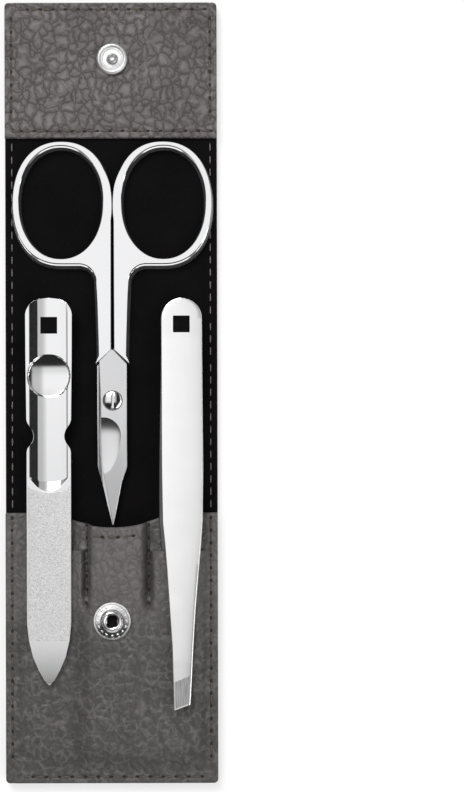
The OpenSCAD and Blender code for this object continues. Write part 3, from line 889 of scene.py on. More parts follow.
def scoop_y(x):
    return SCREW_Y - np.sqrt(np.maximum(SCOOP_R ** 2 - (x - SNAP_X) ** 2, 0))


def wander(x, y, waves):
    """Gentle unevenness from a few sine waves: (length across, length along, phase, height)."""
    total = np.zeros_like(x)
    for wx, wy, phase, height in waves:
        total += height * np.sin(x / wx + y / wy + phase)
    return total


def pocket_creases(x, y):
    """Soft folds in the leather: upright ones under the slits, slack at the bottom corners."""
    out = np.abs(x)
    folds = 0.12 * np.sin(x * 2.1 + 1.3 * np.sin(y * 0.3)) * np.exp(-((y + 39) / 2.2) ** 2) * (out < 20)
    slack = (0.14 * np.sin((x + 0.5 * y) * 1.1 + 0.8) * np.exp(-((y + 80) / 7) ** 2)
             * np.exp(-((out - 16) / 5) ** 2))
    sides = (0.1 * np.sin(x * 3.3 + 1.1 * np.sin(y * 0.35)) * np.exp(-((out - 18.5) / 2.5) ** 2)
             * ease((-62 - y) / 8))
    waves = ((2.6, 4.1, 0.3, 0.035), (-3.3, 2.9, 1.9, 0.03), (1.9, -5.2, 4.2, 0.025))
    return folds + slack + sides + wander(x, y, waves)


class MANICURE_OT_pocket(bpy.types.Operator):
    """Makes the pocket's moulded leather with its mouth, slits and folds"""
    bl_idname = "manicure.pocket"
    bl_label = "Pocket"

    def execute(self, context):
        step = context.scene.manicure_sizes.pocket_step
        piece = join([self.sheet(step), self.band(-1, step), self.band(1, step)])
        paint(piece, material("pocket leather"))
        smooth(piece, 50)
        hand_over(piece, "pocket_leather", "case_back", ("pocket_front",))
        return {"FINISHED"}

    def sheet(self, step):
        xs = np.unique(np.round(np.concatenate([
            edge_steps(-HALF_W, HALF_W, step),
            LEFT_DIVIDER + np.array((-0.3, 0, 0.2, 0.21, 0.45)),
            RIGHT_DIVIDER + np.array((-0.45, -0.21, -0.2, 0, 0.3))]), 3))
        ys = edge_steps(-END_Y, BAG_TOP_Y, step, True, False)
        # Rows that reach on from there to the mouth or to the slit, closer together towards it
        extra = 1 - (1 - np.linspace(0, 1, 14)[1:]) ** 1.25
        reach = np.concatenate([[0], extra])

        def place(across, along):
            x = spread(xs, across)
            row = np.rint(along * (len(ys) + len(extra) - 1)).astype(int)
            top = np.where((x > LEFT_DIVIDER + 0.2) & (x < RIGHT_DIVIDER - 0.2), scoop_y(x), SLIT_Y)
            y = np.where(row < len(ys), ys[np.minimum(row, len(ys) - 1)],
                         BAG_TOP_Y + (top - BAG_TOP_Y) * reach[np.maximum(row - len(ys) + 1, 0)])
            room = pocket_room(x, y)
            z = FLOOR_Z + room + POCKET_T
            z = z + pocket_creases(x, y) * ease(room / 0.8)
            # Edges roll over: the case's rim, the mouth and the slits
            distance = np.minimum(from_edge(x, y, *BAG_SPAN), 0.5)
            z = z - roll_down(distance, 0.45) - roll_down(np.clip(top - y, 0, 1), 0.3)
            seam = np.minimum(np.abs(STITCH_X - np.abs(x)), np.abs(y + STITCH_END_Y))
            z = z + groove(seam, 0.14, 0.42)
            return *round_case(x, y, *BAG_SPAN), z

        piece = place_grid(len(xs) - 1, len(ys) + len(extra) - 1, place)
        points = points_of(piece)
        x, y = points[:, 0], points[:, 1]
        mask = np.clip(from_edge(x, y, *BAG_SPAN) / 1.2 - 0.4, 0, 1)
        mask = mask * (1 - 0.85 * np.exp(-((STITCH_X - np.abs(x)) / 0.6) ** 2))
        mask = mask * (0.35 + 0.65 * ease((-52 - y) / 12 + 0.35 * np.abs(x) / HALF_W))

        def inner(px, py, pz):
            return np.minimum(FLOOR_Z + pocket_room(px, py), pz - 0.3)

        face_outwards(close_sheet(piece, inner))
        emboss(piece, 0.12, mask, **POCKET_GRAIN)
        hole = turned([(1.62, SEAT_Z - 4), (1.62, SEAT_Z + 4)], (SNAP_X, SNAP_Y), 32)
        return carve(piece, hole)

    def band(self, side, step):
        """The strip between a side slit and the mouth; side is -1 on the left and 1 on the right."""
        divider = LEFT_DIVIDER if side < 0 else RIGHT_DIVIDER
        inner_x = divider - side * 0.3
        outer_x = side * HALF_W
        xs = edge_steps(min(inner_x, outer_x), max(inner_x, outer_x), step, side < 0, side > 0)
        rows = np.concatenate([(0, 0.02, 0.05), np.linspace(0.09, 0.88, 20), (0.92, 0.95, 0.98, 1.0)])

        def place(across, along):
            x = spread(xs, across)
            t = spread(rows, along)
            top = np.where(np.abs(x - SNAP_X) < 13.2, np.minimum(scoop_y(x), POCKET_TOP_Y), POCKET_TOP_Y)
            bottom = np.where(np.abs(x) > 22.7, SLIT_Y - 0.9, SLIT_Y - 0.4)
            y = bottom + (top - bottom) * t
            z = np.full_like(x, SEAM_Z)
            z = z - roll_down(np.clip(top - y, 0, 1), 0.4) - roll_down(HALF_W - np.abs(x), 0.45)
            inside = np.clip((22 - np.abs(x)) / 2, 0, 1) * ease((y - SLIT_Y) / 1.5) * ease((top - y) / 1.0)
            dent = 0.1 + 0.16 * (1 + np.sin(x * 2.6 + 0.9 * np.sin(y * 0.5)))
            z = z - inside * dent * np.clip((top - y) / 3, 0.2, 1)
            z = z + groove(STITCH_X - np.abs(x), 0.14, 0.42)
            return x, y, z

        piece = place_grid(len(xs) - 1, len(rows) - 1, place)
        points = points_of(piece)
        mask = 0.5 * np.clip((HALF_W - np.abs(points[:, 0])) / 1.2 - 0.4, 0, 1)
        face_outwards(close_sheet(piece, flat_at(FLOOR_Z)))
        return emboss(piece, 0.1, mask, **POCKET_GRAIN)


# ---------- stitching ----------

def stitch_model(length, width, height, hole):
    """One stitch: a thread that dips into the leather at both ends, and after it a flat dark disc, painted
    shade where the needle went through.
    """
    def threaded(points):
        along, across, up = points[:, 2], points[:, 0], points[:, 1]
        along = np.sign(along) * np.abs(along) ** 0.8
        return np.column_stack([along * length / 2, across * width / 2,
                                up * height + height * 0.2 - 0.3 * np.abs(along) ** 3 * height * 2])

    def pitted(points):
        x, y, z = points.T
        return np.column_stack([x * 0.55 + length / 2 + 0.32, y * 0.36, z * 0.07])

    thread = merge_doubles(ball(8, 7, threaded))
    if not hole:
        paint(thread, material("lining thread"))
        return thread
    # A flat dark disc beyond the stitch: painted shade for the needle's hole
    hole_shade = ball(10, 5, pitted)
    for piece in (thread, hole_shade):
        paint(piece, material("leather thread"), material("needle hole"))
    for face in hole_shade.data.polygons:
        face.material_index = 1
    return smooth(join([thread, hole_shade]), 60)


def row(a, b, z, pitch=3.0):
    """Places of the stitches from a to b."""
    run = math.dist(a, b)
    count = max(1, round(run / pitch))
    turn = math.degrees(math.atan2(b[1] - a[1], b[0] - a[0]))
    return [(a[0] + (b[0] - a[0]) * (i + 0.5) / count,
             a[1] + (b[1] - a[1]) * (i + 0.5) / count, z, turn) for i in range(count)]


def both_sides(y0, y1, z):
    return row((-STITCH_X, y0), (-STITCH_X, y1), z) + row((STITCH_X, y0), (STITCH_X, y1), z)


def row_across(y, inset, z):
    return row((-STITCH_X + inset, y), (STITCH_X - inset, y), z)


STITCH_SINK = 0.1
LIGHT_SINK = 0.06
MOUTH_SEAM = 2.2


class MANICURE_OT_stitching(bpy.types.Operator):
    """Sews every seam on the inside and the outside of the case"""
    bl_idname = "manicure.stitching"
    bl_label = "Stitching"

    def execute(self, context):
        seam, facing, skin = SEAM_Z - STITCH_SINK, FACING_TOP - STITCH_SINK, SKIN_Z + STITCH_SINK
        self.sew("pocket_edge_thread", "case_back", ("pocket_edge_stitching",),
                 both_sides(-END_Y + 3.6, POCKET_TOP_Y - 1, seam) + row_across(-STITCH_END_Y, 2, seam))
        reach = SCOOP_R + MOUTH_SEAM
        mouth = [(SNAP_X + reach * math.sin(math.radians(turn)), SCREW_Y - reach * math.cos(math.radians(turn)),
                  SEAT_Z + 0.02, turn) for turn in (-6.5, 0, 6.5)]
        self.sew("pocket_mouth_thread", "case_back", ("pocket_mouth_stitching",), mouth)
        dividers = []
        for x in (LEFT_DIVIDER, RIGHT_DIVIDER):
            for y in np.arange(-50.2, -31.9, 3.0):
                z = FLOOR_Z + float(pocket_room(np.array([x]), np.array([y]))[0]) + POCKET_T
                dividers.append((x, float(y), max(z, SEAM_Z) + 0.02, 90))
        self.sew("pocket_divider_thread", "case_back", ("pocket_divider_stitching",), dividers)
        self.sew("flap_edge_thread", "flap", ("flap_edge_stitching",),
                 both_sides(FACING_Y + 3.4, STITCH_END_Y - 2, facing) + row_across(STITCH_END_Y, 1, facing))
        self.sew("facing_seam_thread", "flap", ("facing_seam_stitching",),
                 row_across(FACING_Y + FACING_SEAM_INSET, -0.4, FACING_TOP - 0.15))
        for name, body, node, y0, y1 in (
                ("lining_edge_thread", "case_back", "lining_edge_stitching", POCKET_TOP_Y + 0.6, FOLD_Y - 0.6),
                ("spine_edge_thread", "spine", "spine_stitching", FOLD_Y + 0.4, SPINE_END_Y - 0.4),
                ("flap_lining_thread", "flap", "flap_lining_stitching", SPINE_END_Y + 0.6, FACING_Y - 0.6)):
            self.sew(name, body, (node,), both_sides(y0, y1, FLOOR_Z - LIGHT_SINK), light=True)
        for name, body, places in (
                ("back_outer_thread", "case_back",
                 both_sides(-STITCH_END_Y + 1, FOLD_Y - 2, skin) + row_across(-STITCH_END_Y, 1, skin)),
                ("flap_outer_thread", "flap",
                 both_sides(SPINE_END_Y + 2, STITCH_END_Y - 1, skin) + row_across(STITCH_END_Y, 1, skin)),
                ("spine_outer_thread", "spine", both_sides(FOLD_Y + 2.2, SPINE_END_Y - 2.2, skin))):
            self.sew(name, body, (), places, under=True)
        return {"FINISHED"}

    def sew(self, name, body, nodes, places, light=False, under=False):
        model = stitch_model(2.1, 0.3, 0.14, hole=False) if light else stitch_model(2.0, 0.55, 0.2, hole=True)
        if under:
            points = points_of(model)
            points[:, 2] *= -1
            move_points(model, points)
            merge_doubles(model)
        hand_over(copies(model, places), name, body, nodes)


# ---------- the snap ----------

SOCKET_BORE = 1.42


class MANICURE_OT_snap(bpy.types.Operator):
    """Makes the press stud's two halves"""
    bl_idname = "manicure.snap"
    bl_label = "Press Stud"

    def execute(self, context):
        self.socket()
        self.stud()
        # The socket's post is painted black as the shade in its hole
        for node, finish in (("socket_post", "post black"), ("socket_spring_left", "spring wire"),
                             ("socket_spring_right", "spring wire"), ("stud_rivet", "rivet steel")):
            paint(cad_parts[node], material(finish))
        return {"FINISHED"}

    def cap(self, steps, base_z, centre, degrees, bead, ring):
        """A turned steel cap with a ring of small beads; steps are (radius, height above base_z)."""
        body = smooth(turned([(radius, base_z + height) for radius, height in steps], centre, 96), degrees)
        segments, rings, size = bead
        radius, count, height = ring
        beads = copies(ball(segments, rings, lambda points: points * np.array(size)),
                       around(centre, radius, count, base_z + height))
        return join([body, smooth(beads, 60)])

    def socket(self):
        steps = ((4.25, 0), (4.35, 0.1), (4.35, 0.56), (4.32, 0.7), (4.26, 0.75), (3.95, 0.76), (3.88, 0.7),
                 (3.4, 0.755), (2.7, 0.85), (2.56, 1.1), (2.42, 1.5), (2.25, 1.76), (2.05, 1.87), (1.75, 1.89),
                 (1.56, 1.8), (SOCKET_BORE, 1.5), (SOCKET_BORE, 0.3))
        piece = self.cap(steps, SEAT_Z, (SNAP_X, SNAP_Y), 30, (10, 6, (0.2, 0.34, 0.14)), (3.35, 16, 0.75))
        paint(piece, material("socket steel"), material("post black"))
        # The faces inside the bore are painted black: painted shade in the socket's hole
        for face in piece.data.polygons:
            out = math.hypot(face.center.x - SNAP_X * MM, face.center.y - SNAP_Y * MM)
            face.material_index = 1 if out < 1.4 * MM else 0
        hand_over(piece, "snap_socket_cap", "case_back", ("snap_socket",))

    def stud(self):
        steps = ((3.62, 0), (3.7, 0.08), (3.7, 0.4), (3.62, 0.66), (3.45, 0.86), (3.2, 0.98), (2.95, 0.98),
                 (2.78, 0.88), (2.68, 0.78), (2.3, 0.76), (1.7, 0.78), (1.2, 0.8), (0.98, 0.88), (0.86, 1.02),
                 (0.86, 1.2), (0.98, 1.36), (1.07, 1.52), (1.1, 1.7), (1.05, 1.96), (0.92, 2.24), (0.74, 2.46),
                 (0.56, 2.58), (0.47, 2.55), (0.43, 2.4), (0.42, 1.7))
        piece = self.cap(steps, FACING_TOP, (SNAP_X, STUD_Y), 40, (6, 5, (0.3, 0.07, 0.05)), (2.35, 72, 0.77))
        paint(piece, material("stud steel"))
        hand_over(piece, "snap_stud_cap", "flap", ("snap_stud",))


# ---------- the badge, boards and marks ----------

def badge_square(half, radius, z0, z1):
    """A square plate with round corners on the badge's place."""
    outline = []
    for way_x, way_y, start in ((1, 1, 0), (-1, 1, 90), (-1, -1, 180), (1, -1, 270)):
        centre = (way_x * (half - radius), way_y * (half - radius))
        outline += arc(centre, radius, radius, start, start + 90, 8)
    return cut_plate([(x, y + BADGE_Y) for x, y in outline], z0, z1)


class MANICURE_OT_badge(bpy.types.Operator):
    """Makes the square badge with its chrome frame and plain black inlay"""
    bl_idname = "manicure.badge"
    bl_label = "Badge"

    def execute(self, context):
        half, rim, gap, line_inset, line_width = 3.875, 0.62, 0.02, 0.42, 0.14
        inner = half - rim
        frame_plate = badge_square(half, 1.2, 0.0, 0.42)
        soften_edges(carve(frame_plate, badge_square(inner, 0.7, -0.5, 0.3)), 0.12, 3)
        paint(smooth(frame_plate, 40), material("badge chrome"))
        hand_over(frame_plate, "badge_chrome_frame", "flap", ("badge_frame",))
        inner -= gap
        inlay = soften_edges(badge_square(inner, 0.7, 0.12, 0.32), 0.06, 2)
        edge = inner - line_inset
        line = badge_square(edge, 0.35, 0.1, 0.2)
        soften_edges(carve(line, badge_square(edge - line_width, 0.3, 0.0, 0.4)), 0.02, 2)
        paint(line, material("badge chrome"))
        paint(inlay, material("badge enamel"))
        piece = join([inlay, line])
        hand_over(smooth(piece, 40), "badge_black_inlay", "flap", ("badge_inlay",))
        return {"FINISHED"}


class MANICURE_OT_hidden_parts(bpy.types.Operator):
    """Finishes the stiffening boards and the tweezers' black mark, which keep their solids"""
    bl_idname = "manicure.hidden_parts"
    bl_label = "Boards and Marks"

    def execute(self, context):
        for node in ("back_board", "flap_board"):
            paint(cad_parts[node], material("board"))
        paint(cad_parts["tweezers_mark"], material("black mark"))
        return {"FINISHED"}


# ---------- scissors ----------

def oval(centre, rx, ry, power, start, stop, count):
    """Part of an oval that is fuller than an ellipse the more power exceeds 2."""
    points = []
    for a in np.radians(np.linspace(start, stop, count + 1)):
        c, n = math.cos(a), math.sin(a)
        points.append((centre[0] + rx * math.copysign(abs(c) ** (2 / power), c),
                       centre[1] + ry * math.copysign(abs(n) ** (2 / power), n)))
    return points


def bow_outline():
    """Left bow and shank: an oval loop, a flat foot, a fillet and the shank down to the joint."""
    loop = (-11.85, 45.43)
    return ([(-0.3, 42)] + oval(loop, 11.78, 15.2, 2.25, -6, 180, 93)
            + oval(loop, 11.78, 14.6, 2.25, 182, 266, 42)
            + [(-11.85, 30.83), (-9.6, 30.83)] + arc((-7.85, 27.33), 3.5, 3.5, 90, 0, 30)
            + [(-4.25, 25), (-4.15, 23), (-4, 18), (-3.87, 14), (-3.8, 10.5), (-3.75, 8.27), (-0.3, 11.9),
               (-0.3, 24)])


def blade_outline(extra):
    return [(-3.1, 8.6), (-3.2, 11), (-0.3, 13.5), (-0.3, 12.3), (0.3, 11.72),
            (3.35 + extra, 8.55 - 1.04 * extra),
            (3.35 + extra, 0), (3.35 + 0.6 * extra, -15.5), (2.1 + 1.4 * extra, -19), (1 + 0.8 * extra, -24.6),
            (0, -29.2), (-2, -18.2), (-2.35, -16), (-2.7, -9), (-2.75, 0)]


def about_screw(outline, mirrored):
    points = [((-x if mirrored else x) + SCREW_X, y + SCREW_Y) for x, y in outline]
    return points[::-1] if mirrored else points


def layered_plate(outline, heights, inset, out=1):
    """A plate, or with out -1 a cutter, whose wall steps in.

    inset(level, x, y, facing) says how far it does at each height."""
    plate = edit(cut_plate(outline, heights[0], heights[1]))
    bpy.ops.mesh.select_all(action="DESELECT")
    bpy.ops.object.mode_set(mode="OBJECT")
    for face in plate.data.polygons:
        face.select = len(face.vertices) > 4 and face.center.z > (heights[0] + heights[1]) / 2 * MM
    bpy.ops.object.mode_set(mode="EDIT")
    bpy.ops.mesh.select_mode(type="FACE")
    for z0, z1 in zip(heights[1:], heights[2:]):
        draw_up(z1 - z0)
    bpy.ops.mesh.select_mode(type="VERT")
    bpy.ops.object.mode_set(mode="OBJECT")
    points = points_of(plate)
    count = len(outline)
    for level in range(len(heights)):
        ring = points[level * count:(level + 1) * count]
        along = np.roll(ring, -1, axis=0) - np.roll(ring, 1, axis=0)
        along /= np.maximum(np.hypot(along[:, 0], along[:, 1]), 1e-9)[:, None]
        turn = np.sign(np.sum(ring[:, 0] * np.roll(ring[:, 1], -1) - np.roll(ring[:, 0], -1) * ring[:, 1]))
        inward = np.column_stack([-along[:, 1], along[:, 0]]) * turn * out
        step = inset(level, ring[:, 0] - SCREW_X, ring[:, 1] - SCREW_Y, -inward)
        ring[:, :2] += inward * step[:, None]
    move_points(plate, points)
    return face_outwards(plate)


BOW_HEIGHTS = (SCISSORS_Z, SCISSORS_Z + 0.06, SCISSORS_TOP - 0.27, SCISSORS_TOP - 0.04, SCISSORS_TOP)


def bow_inset(most):
    """Walls of the bows: steep at the sides, and towards the blades wide with a facet below the face."""
    def inset(level, x, y, facing):
        level = min(level, len(BOW_HEIGHTS) - 1)
        low = np.maximum(-facing[:, 1], 0)
        side = 0.45 + 0.2 * ease((30 - y) / 4)
        whole = side + (most - side) * low ** 0.8 - (side - 0.2) * np.maximum(facing[:, 1], 0)
        whole = whole * np.clip((np.abs(x) - 0.2) / 1.5, 0.2, 1)
        whole = np.where((low > 0.5) & (y < 13.5), 0.5, whole)
        at_low, elsewhere = ((0.0, 0.0), (0.0, 0.0), (0.56, 0.1), (0.26, 0.05), (0.0, 0.0))[level]
        facets = np.minimum(at_low * low + elsewhere * (1 - low), whole * 0.75)
        return np.where(level < 2, 0.04 * (1 - level), whole - facets)
    return inset


def blade_inset(level, x, y, facing):
    """A fine rounded edge, and a wide bevel along the joint's slanting shoulder."""
    shoulder = np.minimum(facing[:, 0], facing[:, 1]) > 0.5
    return np.where(shoulder, (0.1, 0.1, 0.28, 0.5)[level], (0, 0, 0.03, 0.09)[level])


def bisect(piece, place, normal):
    edit(piece)
    bpy.ops.mesh.bisect(plane_co=tuple(c * MM for c in place), plane_no=normal)
    bpy.ops.object.mode_set(mode="OBJECT")


BLADE_T = 1.05


class MANICURE_OT_scissors(bpy.types.Operator):
    """Makes both halves of the scissors and their screw"""
    bl_idname = "manicure.scissors"
    bl_label = "Scissors"

    def execute(self, context):
        self.half(mirrored=False)
        self.half(mirrored=True)
        self.screw()
        return {"FINISHED"}

    def half(self, mirrored):
        """The front half, or the back one, which is mirrored about the screw and lies below it."""
        side = "back" if mirrored else "front"
        z0 = SCISSORS_Z if mirrored else SCISSORS_TOP - BLADE_T
        z1 = SCISSORS_Z + BLADE_T if mirrored else SCISSORS_TOP - 0.1
        blade = layered_plate(about_screw(blade_outline(0.35 if mirrored else 0.0), mirrored),
                              (z0, z1 - 0.2, z1 - 0.06, z1), blade_inset)
        grind_y = SCREW_Y - 8
        bisect(blade, (0, grind_y, 0), (0, 1, 0))
        if mirrored:
            bisect(blade, (SCREW_X - 3.35, 0, 0), (1, 0, 0))
            bisect(blade, (SCREW_X - 2.2, 0, 0), (1, 0, 0))
        points = points_of(blade)
        if mirrored:
            # The ground inside falls away from the thin bright edge that shows beside the front blade
            ground = np.clip(points[:, 0] - SCREW_X + 3.35, 0, 1.15) * 0.19
            points[:, 2] -= np.where(points[:, 2] > z1 - 0.1, ground, 0)
        # Towards the tip each blade gets thinner, and keeps the face that lies on the other blade
        thinner = np.maximum(grind_y - points[:, 1], 0) * math.tan(math.radians(1.8)) / (z1 - z0)
        points[:, 2] -= (points[:, 2] - (z1 if mirrored else z0)) * thinner
        move_points(blade, points)
        if not mirrored:
            def hollowed(points):
                x, y, z = points.T
                return np.column_stack([x * 5.4 + SCREW_X - 2.2, y * np.where(y > 0, 5.6, 17.0) + SCREW_Y - 8.2,
                                        z * 1.4 + SCISSORS_TOP + 0.8])

            recess = turned([(2.3, SCISSORS_TOP - 0.6), (2.36, SCISSORS_TOP), (2.36, SCISSORS_TOP + 1)],
                            (SCREW_X, SCREW_Y), 64)
            carve(blade, ball(96, 64, hollowed), recess)
        bore = turned([(1.22, SCISSORS_Z - 1), (1.22, SCISSORS_TOP + 1)], (SCREW_X, SCREW_Y), 32)
        carve(blade, bore)
        self.two_finishes(smooth(blade, 10), "blade steel")
        bow = layered_plate(about_screw(bow_outline(), mirrored), BOW_HEIGHTS, bow_inset(1.27))
        hole_x = SCREW_X + (12 if mirrored else -12)
        hole = layered_plate(oval((hole_x, SCREW_Y + 45.93), 9.475, 12.725, 2.1, 0, 357.5, 143),
                             (BOW_HEIGHTS[0] - 1, *BOW_HEIGHTS[1:], SCISSORS_TOP + 1), bow_inset(1.1), -1)
        carve(bow, hole)
        self.two_finishes(smooth(bow, 5), "mirror steel")
        bow = even_out(join([bow, blade]))
        hand_over(bow, f"scissors_{side}_piece", f"scissors_{side}",
                  (f"scissors_{side}_half",))

    def two_finishes(self, piece, face_finish):
        """Polished faces; walls and the screw's recess in a duller steel that is painted dark as shade."""
        paint(piece, material(face_finish), material("forged steel"))
        for face in piece.data.polygons:
            out = math.hypot(face.center.x / MM - SCREW_X, face.center.y / MM - SCREW_Y)
            in_recess = out < 2.35 and face.center.z < (SCISSORS_TOP - 0.3) * MM
            # Walls and the recess take the dark steel: a duller finish, painted darker as shade
            face.material_index = 1 if abs(face.normal.z) < 0.5 or in_recess else 0

    def screw(self):
        z = SCISSORS_TOP - 0.1
        dome = [(r, z + 0.45 - r ** 2 / 13) for r in (2.05, 1.8, 1.5, 1.2, 0.9, 0.6, 0.3, 0.1)]
        head = turned([(1.2, SCISSORS_Z), (1.2, z - 0.33), (2.05, z - 0.33), (2.12, z), (2.1, z + 0.1), *dome],
                      (SCREW_X, SCREW_Y), 64)
        slot = place_grid(2, 16, lambda across, along: (
            SCREW_X + 0.58 * (across - 0.5), SCREW_Y + 8 * (along - 0.5), 0 * across + z + 2))
        face_outwards(close_sheet(slot, lambda px, py, pz: z + 0.1 + (py - SCREW_Y) ** 2 / 70))
        carve(head, slot)
        smooth(soften_edges(head, 0.07, 2, 40), 25)
        paint(head, material("screw steel"))
        hand_over(head, "scissors_screw_head", "scissors_front", ("scissors_screw",))


# ---------- nail file ----------

FILE_EDGE = ((22.2, 0.0), (21.95, 2.2), (21.55, 3.4), (20.8, 4.35), (19.9, 4.95), (19.1, 5.32), (18.4, 5.45),
             (8, 5.4), (-6.3, 5.22), (-7.2, 4.9), (-7.9, 4.42), (-8.6, 3.95), (-9.3, 3.68), (-10.1, 3.56),
             (-10.9, 3.68), (-11.6, 3.98), (-12.3, 4.5), (-13.0, 5.0), (-13.8, 5.17), (-20, 5.18),
             (-53.8, 5.15), (-57.8, 4.75), (-61.6, 3.85), (-64.6, 2.55), (-66.9, 1.25), (-67.8, 0.45),
             (-68.1, 0.0))
FILE_TIP_Y = -57.8


def in_table(table, y):
    """The value at y, from a table of (y, value) that runs from the handle to the tip."""
    ys, values = np.array(table)[::-1].T
    return np.interp(y, ys, values)


GROOVE_X = (0, 0.6, 2.45, 2.7, 4.05, 4.2, 4.5, 4.6)
GROOVE_SLOPE = (0, 0.05, 0.11, 0.185, 0.185, 0.29, 0.29, 0)


def groove_wall(x):
    """How far the groove's section has risen above its floor: a flat middle, walls and steeper lips."""
    ways = np.linspace(0, GROOVE_X[-1], 400)
    rise = np.concatenate([[0], np.cumsum(np.interp(ways[1:], GROOVE_X, GROOVE_SLOPE)) * (ways[1] - ways[0])])
    return np.interp(np.abs(x), ways, rise), rise[-1]


def file_face(x, y):
    """Height of the file's upper face: a wide groove down the handle, a sloping end and a thumb dish."""
    wall, depth = groove_wall(x)
    grit_y = -21.05 - 2 * np.sqrt(1 - np.clip(x / 5, -1, 1) ** 2)
    hollow = depth * (1 - np.clip(1 - (y - grit_y) / 2.4, 0, 1.6)) - wall
    blend = 0.012
    cut = blend * np.logaddexp(hollow / blend, 0)
    dish_r, dish_w = 26, 4.93
    out = np.hypot(x, y - 3.95)
    sag = np.sqrt(dish_r ** 2 - np.minimum(out, dish_w) ** 2) - math.sqrt(dish_r ** 2 - dish_w ** 2)
    cut = cut + (np.maximum(depth + 0.04 + sag, cut) - cut) * ease((dish_w + 0.1 - out) / 0.2)
    tip = np.clip(FILE_TIP_Y - y, 0, 10)
    return FILE_TOP - cut - 0.0006 * tip ** 2


class MANICURE_OT_nail_file(bpy.types.Operator):
    """Makes the nail file with its thumb dish, notches and grit"""
    bl_idname = "manicure.nail_file"
    bl_label = "Nail File"

    def execute(self, context):
        ys = np.unique(np.concatenate([
            22.2 - 3.8 * (1 - np.cos(np.linspace(0, math.pi / 2, 16))), np.linspace(18.4, 9.5, 30),
            np.linspace(9.5, -1.8, 84), np.linspace(-1.8, -6.3, 14), np.linspace(-6.3, -14, 44),
            np.linspace(-14, -18, 10), np.linspace(-18, -24, 60), np.linspace(-24, FILE_TIP_Y, 30),
            FILE_TIP_Y - 10.3 * np.sin(np.linspace(0, math.pi / 2, 30))]))[::-1]

        def place(across, along):
            y = spread(ys, along)
            x = (2 * across - 1) * np.maximum(in_table(FILE_EDGE, y), 0.05)
            return x + FILE_X, y, file_face(x, y)

        piece = merge_doubles(close_sheet(place_grid(84, len(ys) - 1, place), flat_at(FILE_Z)))
        soften_edges(piece, 0.12, 2, 50)
        even_out(smooth(piece, 40))
        paint(piece, material("file steel"))
        hand_over(piece, "file_steel_blank", "file", ("file_blank",))
        self.grit("file_grit_top", "file_grit_front", FILE_TOP, 1)
        self.grit("file_grit_under", "file_grit_back", FILE_Z, -1)
        self.mark()
        return {"FINISHED"}

    def mark(self):
        """The plain black square that lies on the groove's floor."""
        def place(across, along):
            x, y = (2 * across - 1) * 1.95, MARK_Y + (2 * along - 1) * 1.95
            return x + FILE_X, y, file_face(x, y) + 0.03

        piece = close_sheet(place_grid(16, 16, place), lambda px, py, pz: file_face(px - FILE_X, py) - 0.05)
        smooth(face_outwards(piece), 40)
        paint(piece, material("black mark"))
        hand_over(piece, "file_black_mark", "file", ("file_mark",))

    def grit(self, name, node, z0, way):
        """A dense field of small grains, higher and lower by chance."""
        rng = np.random.default_rng(11 if way > 0 else 12)
        columns, rows = 84, 270

        def place(across, along):
            x = 2 * across - 1
            top = -21.2 - 2.0 * np.sqrt(np.maximum(1 - x ** 2, 0))
            y = top + (FILE_TIP_Y - top) * along
            half = np.minimum(5.0, in_table(FILE_EDGE, y) - 0.16)
            rim = np.minimum(np.minimum(across, 1 - across) * columns, np.minimum(along, 1 - along) * rows)
            z = z0 + way * (0.05 + 0.045 * rng.random(len(x)))
            z = np.where(rim < 0.5, z0 - way * 0.02, z)
            return x * half + FILE_X, y, z

        piece = face_outwards(close_sheet(place_grid(columns, rows, place), flat_at(z0 - way * 0.05)))
        paint(piece, material("grit"))
        hand_over(piece, name, "file", (node,))


# ---------- tweezers ----------

WELD_Y = 13.25
TIP_Y = -73.5
UPPER_ARM = ((22.05, 0), (13.25, 0), (5, 0.18), (-5, 0.5), (-15, 0.9), (-22, 1.22), (-35, 1.75), (-50, 2.35),
             (-62, 2.75), (-73.5, 3.0))
LOWER_ARM = ((13.25, 2.55), (0, 2.55), (-9, 2.5), (-14, 2.32), (-20, 1.95), (-28, 1.5), (-36.8, 1.18),
             (-48, 0.85), (-60, 0.6), (-73.5, 0.45))
ARM_LEFT = ((17.3, 11.8), (-18, 11.9), (-30, 12.1), (-35.4, 12.65), (-41, 13.1), (-50, 13.7), (-59, 14.3),
            (-73.5, 14.7))
ARM_RIGHT = ((17.3, 21.3), (-18, 21.55), (-30, 21.4), (-35.4, 21), (-41, 20.5), (-50, 19.75), (-59, 19.2),
             (-73.5, 18.5))
HEEL_Y = 17.3
HEEL_R = 4.75


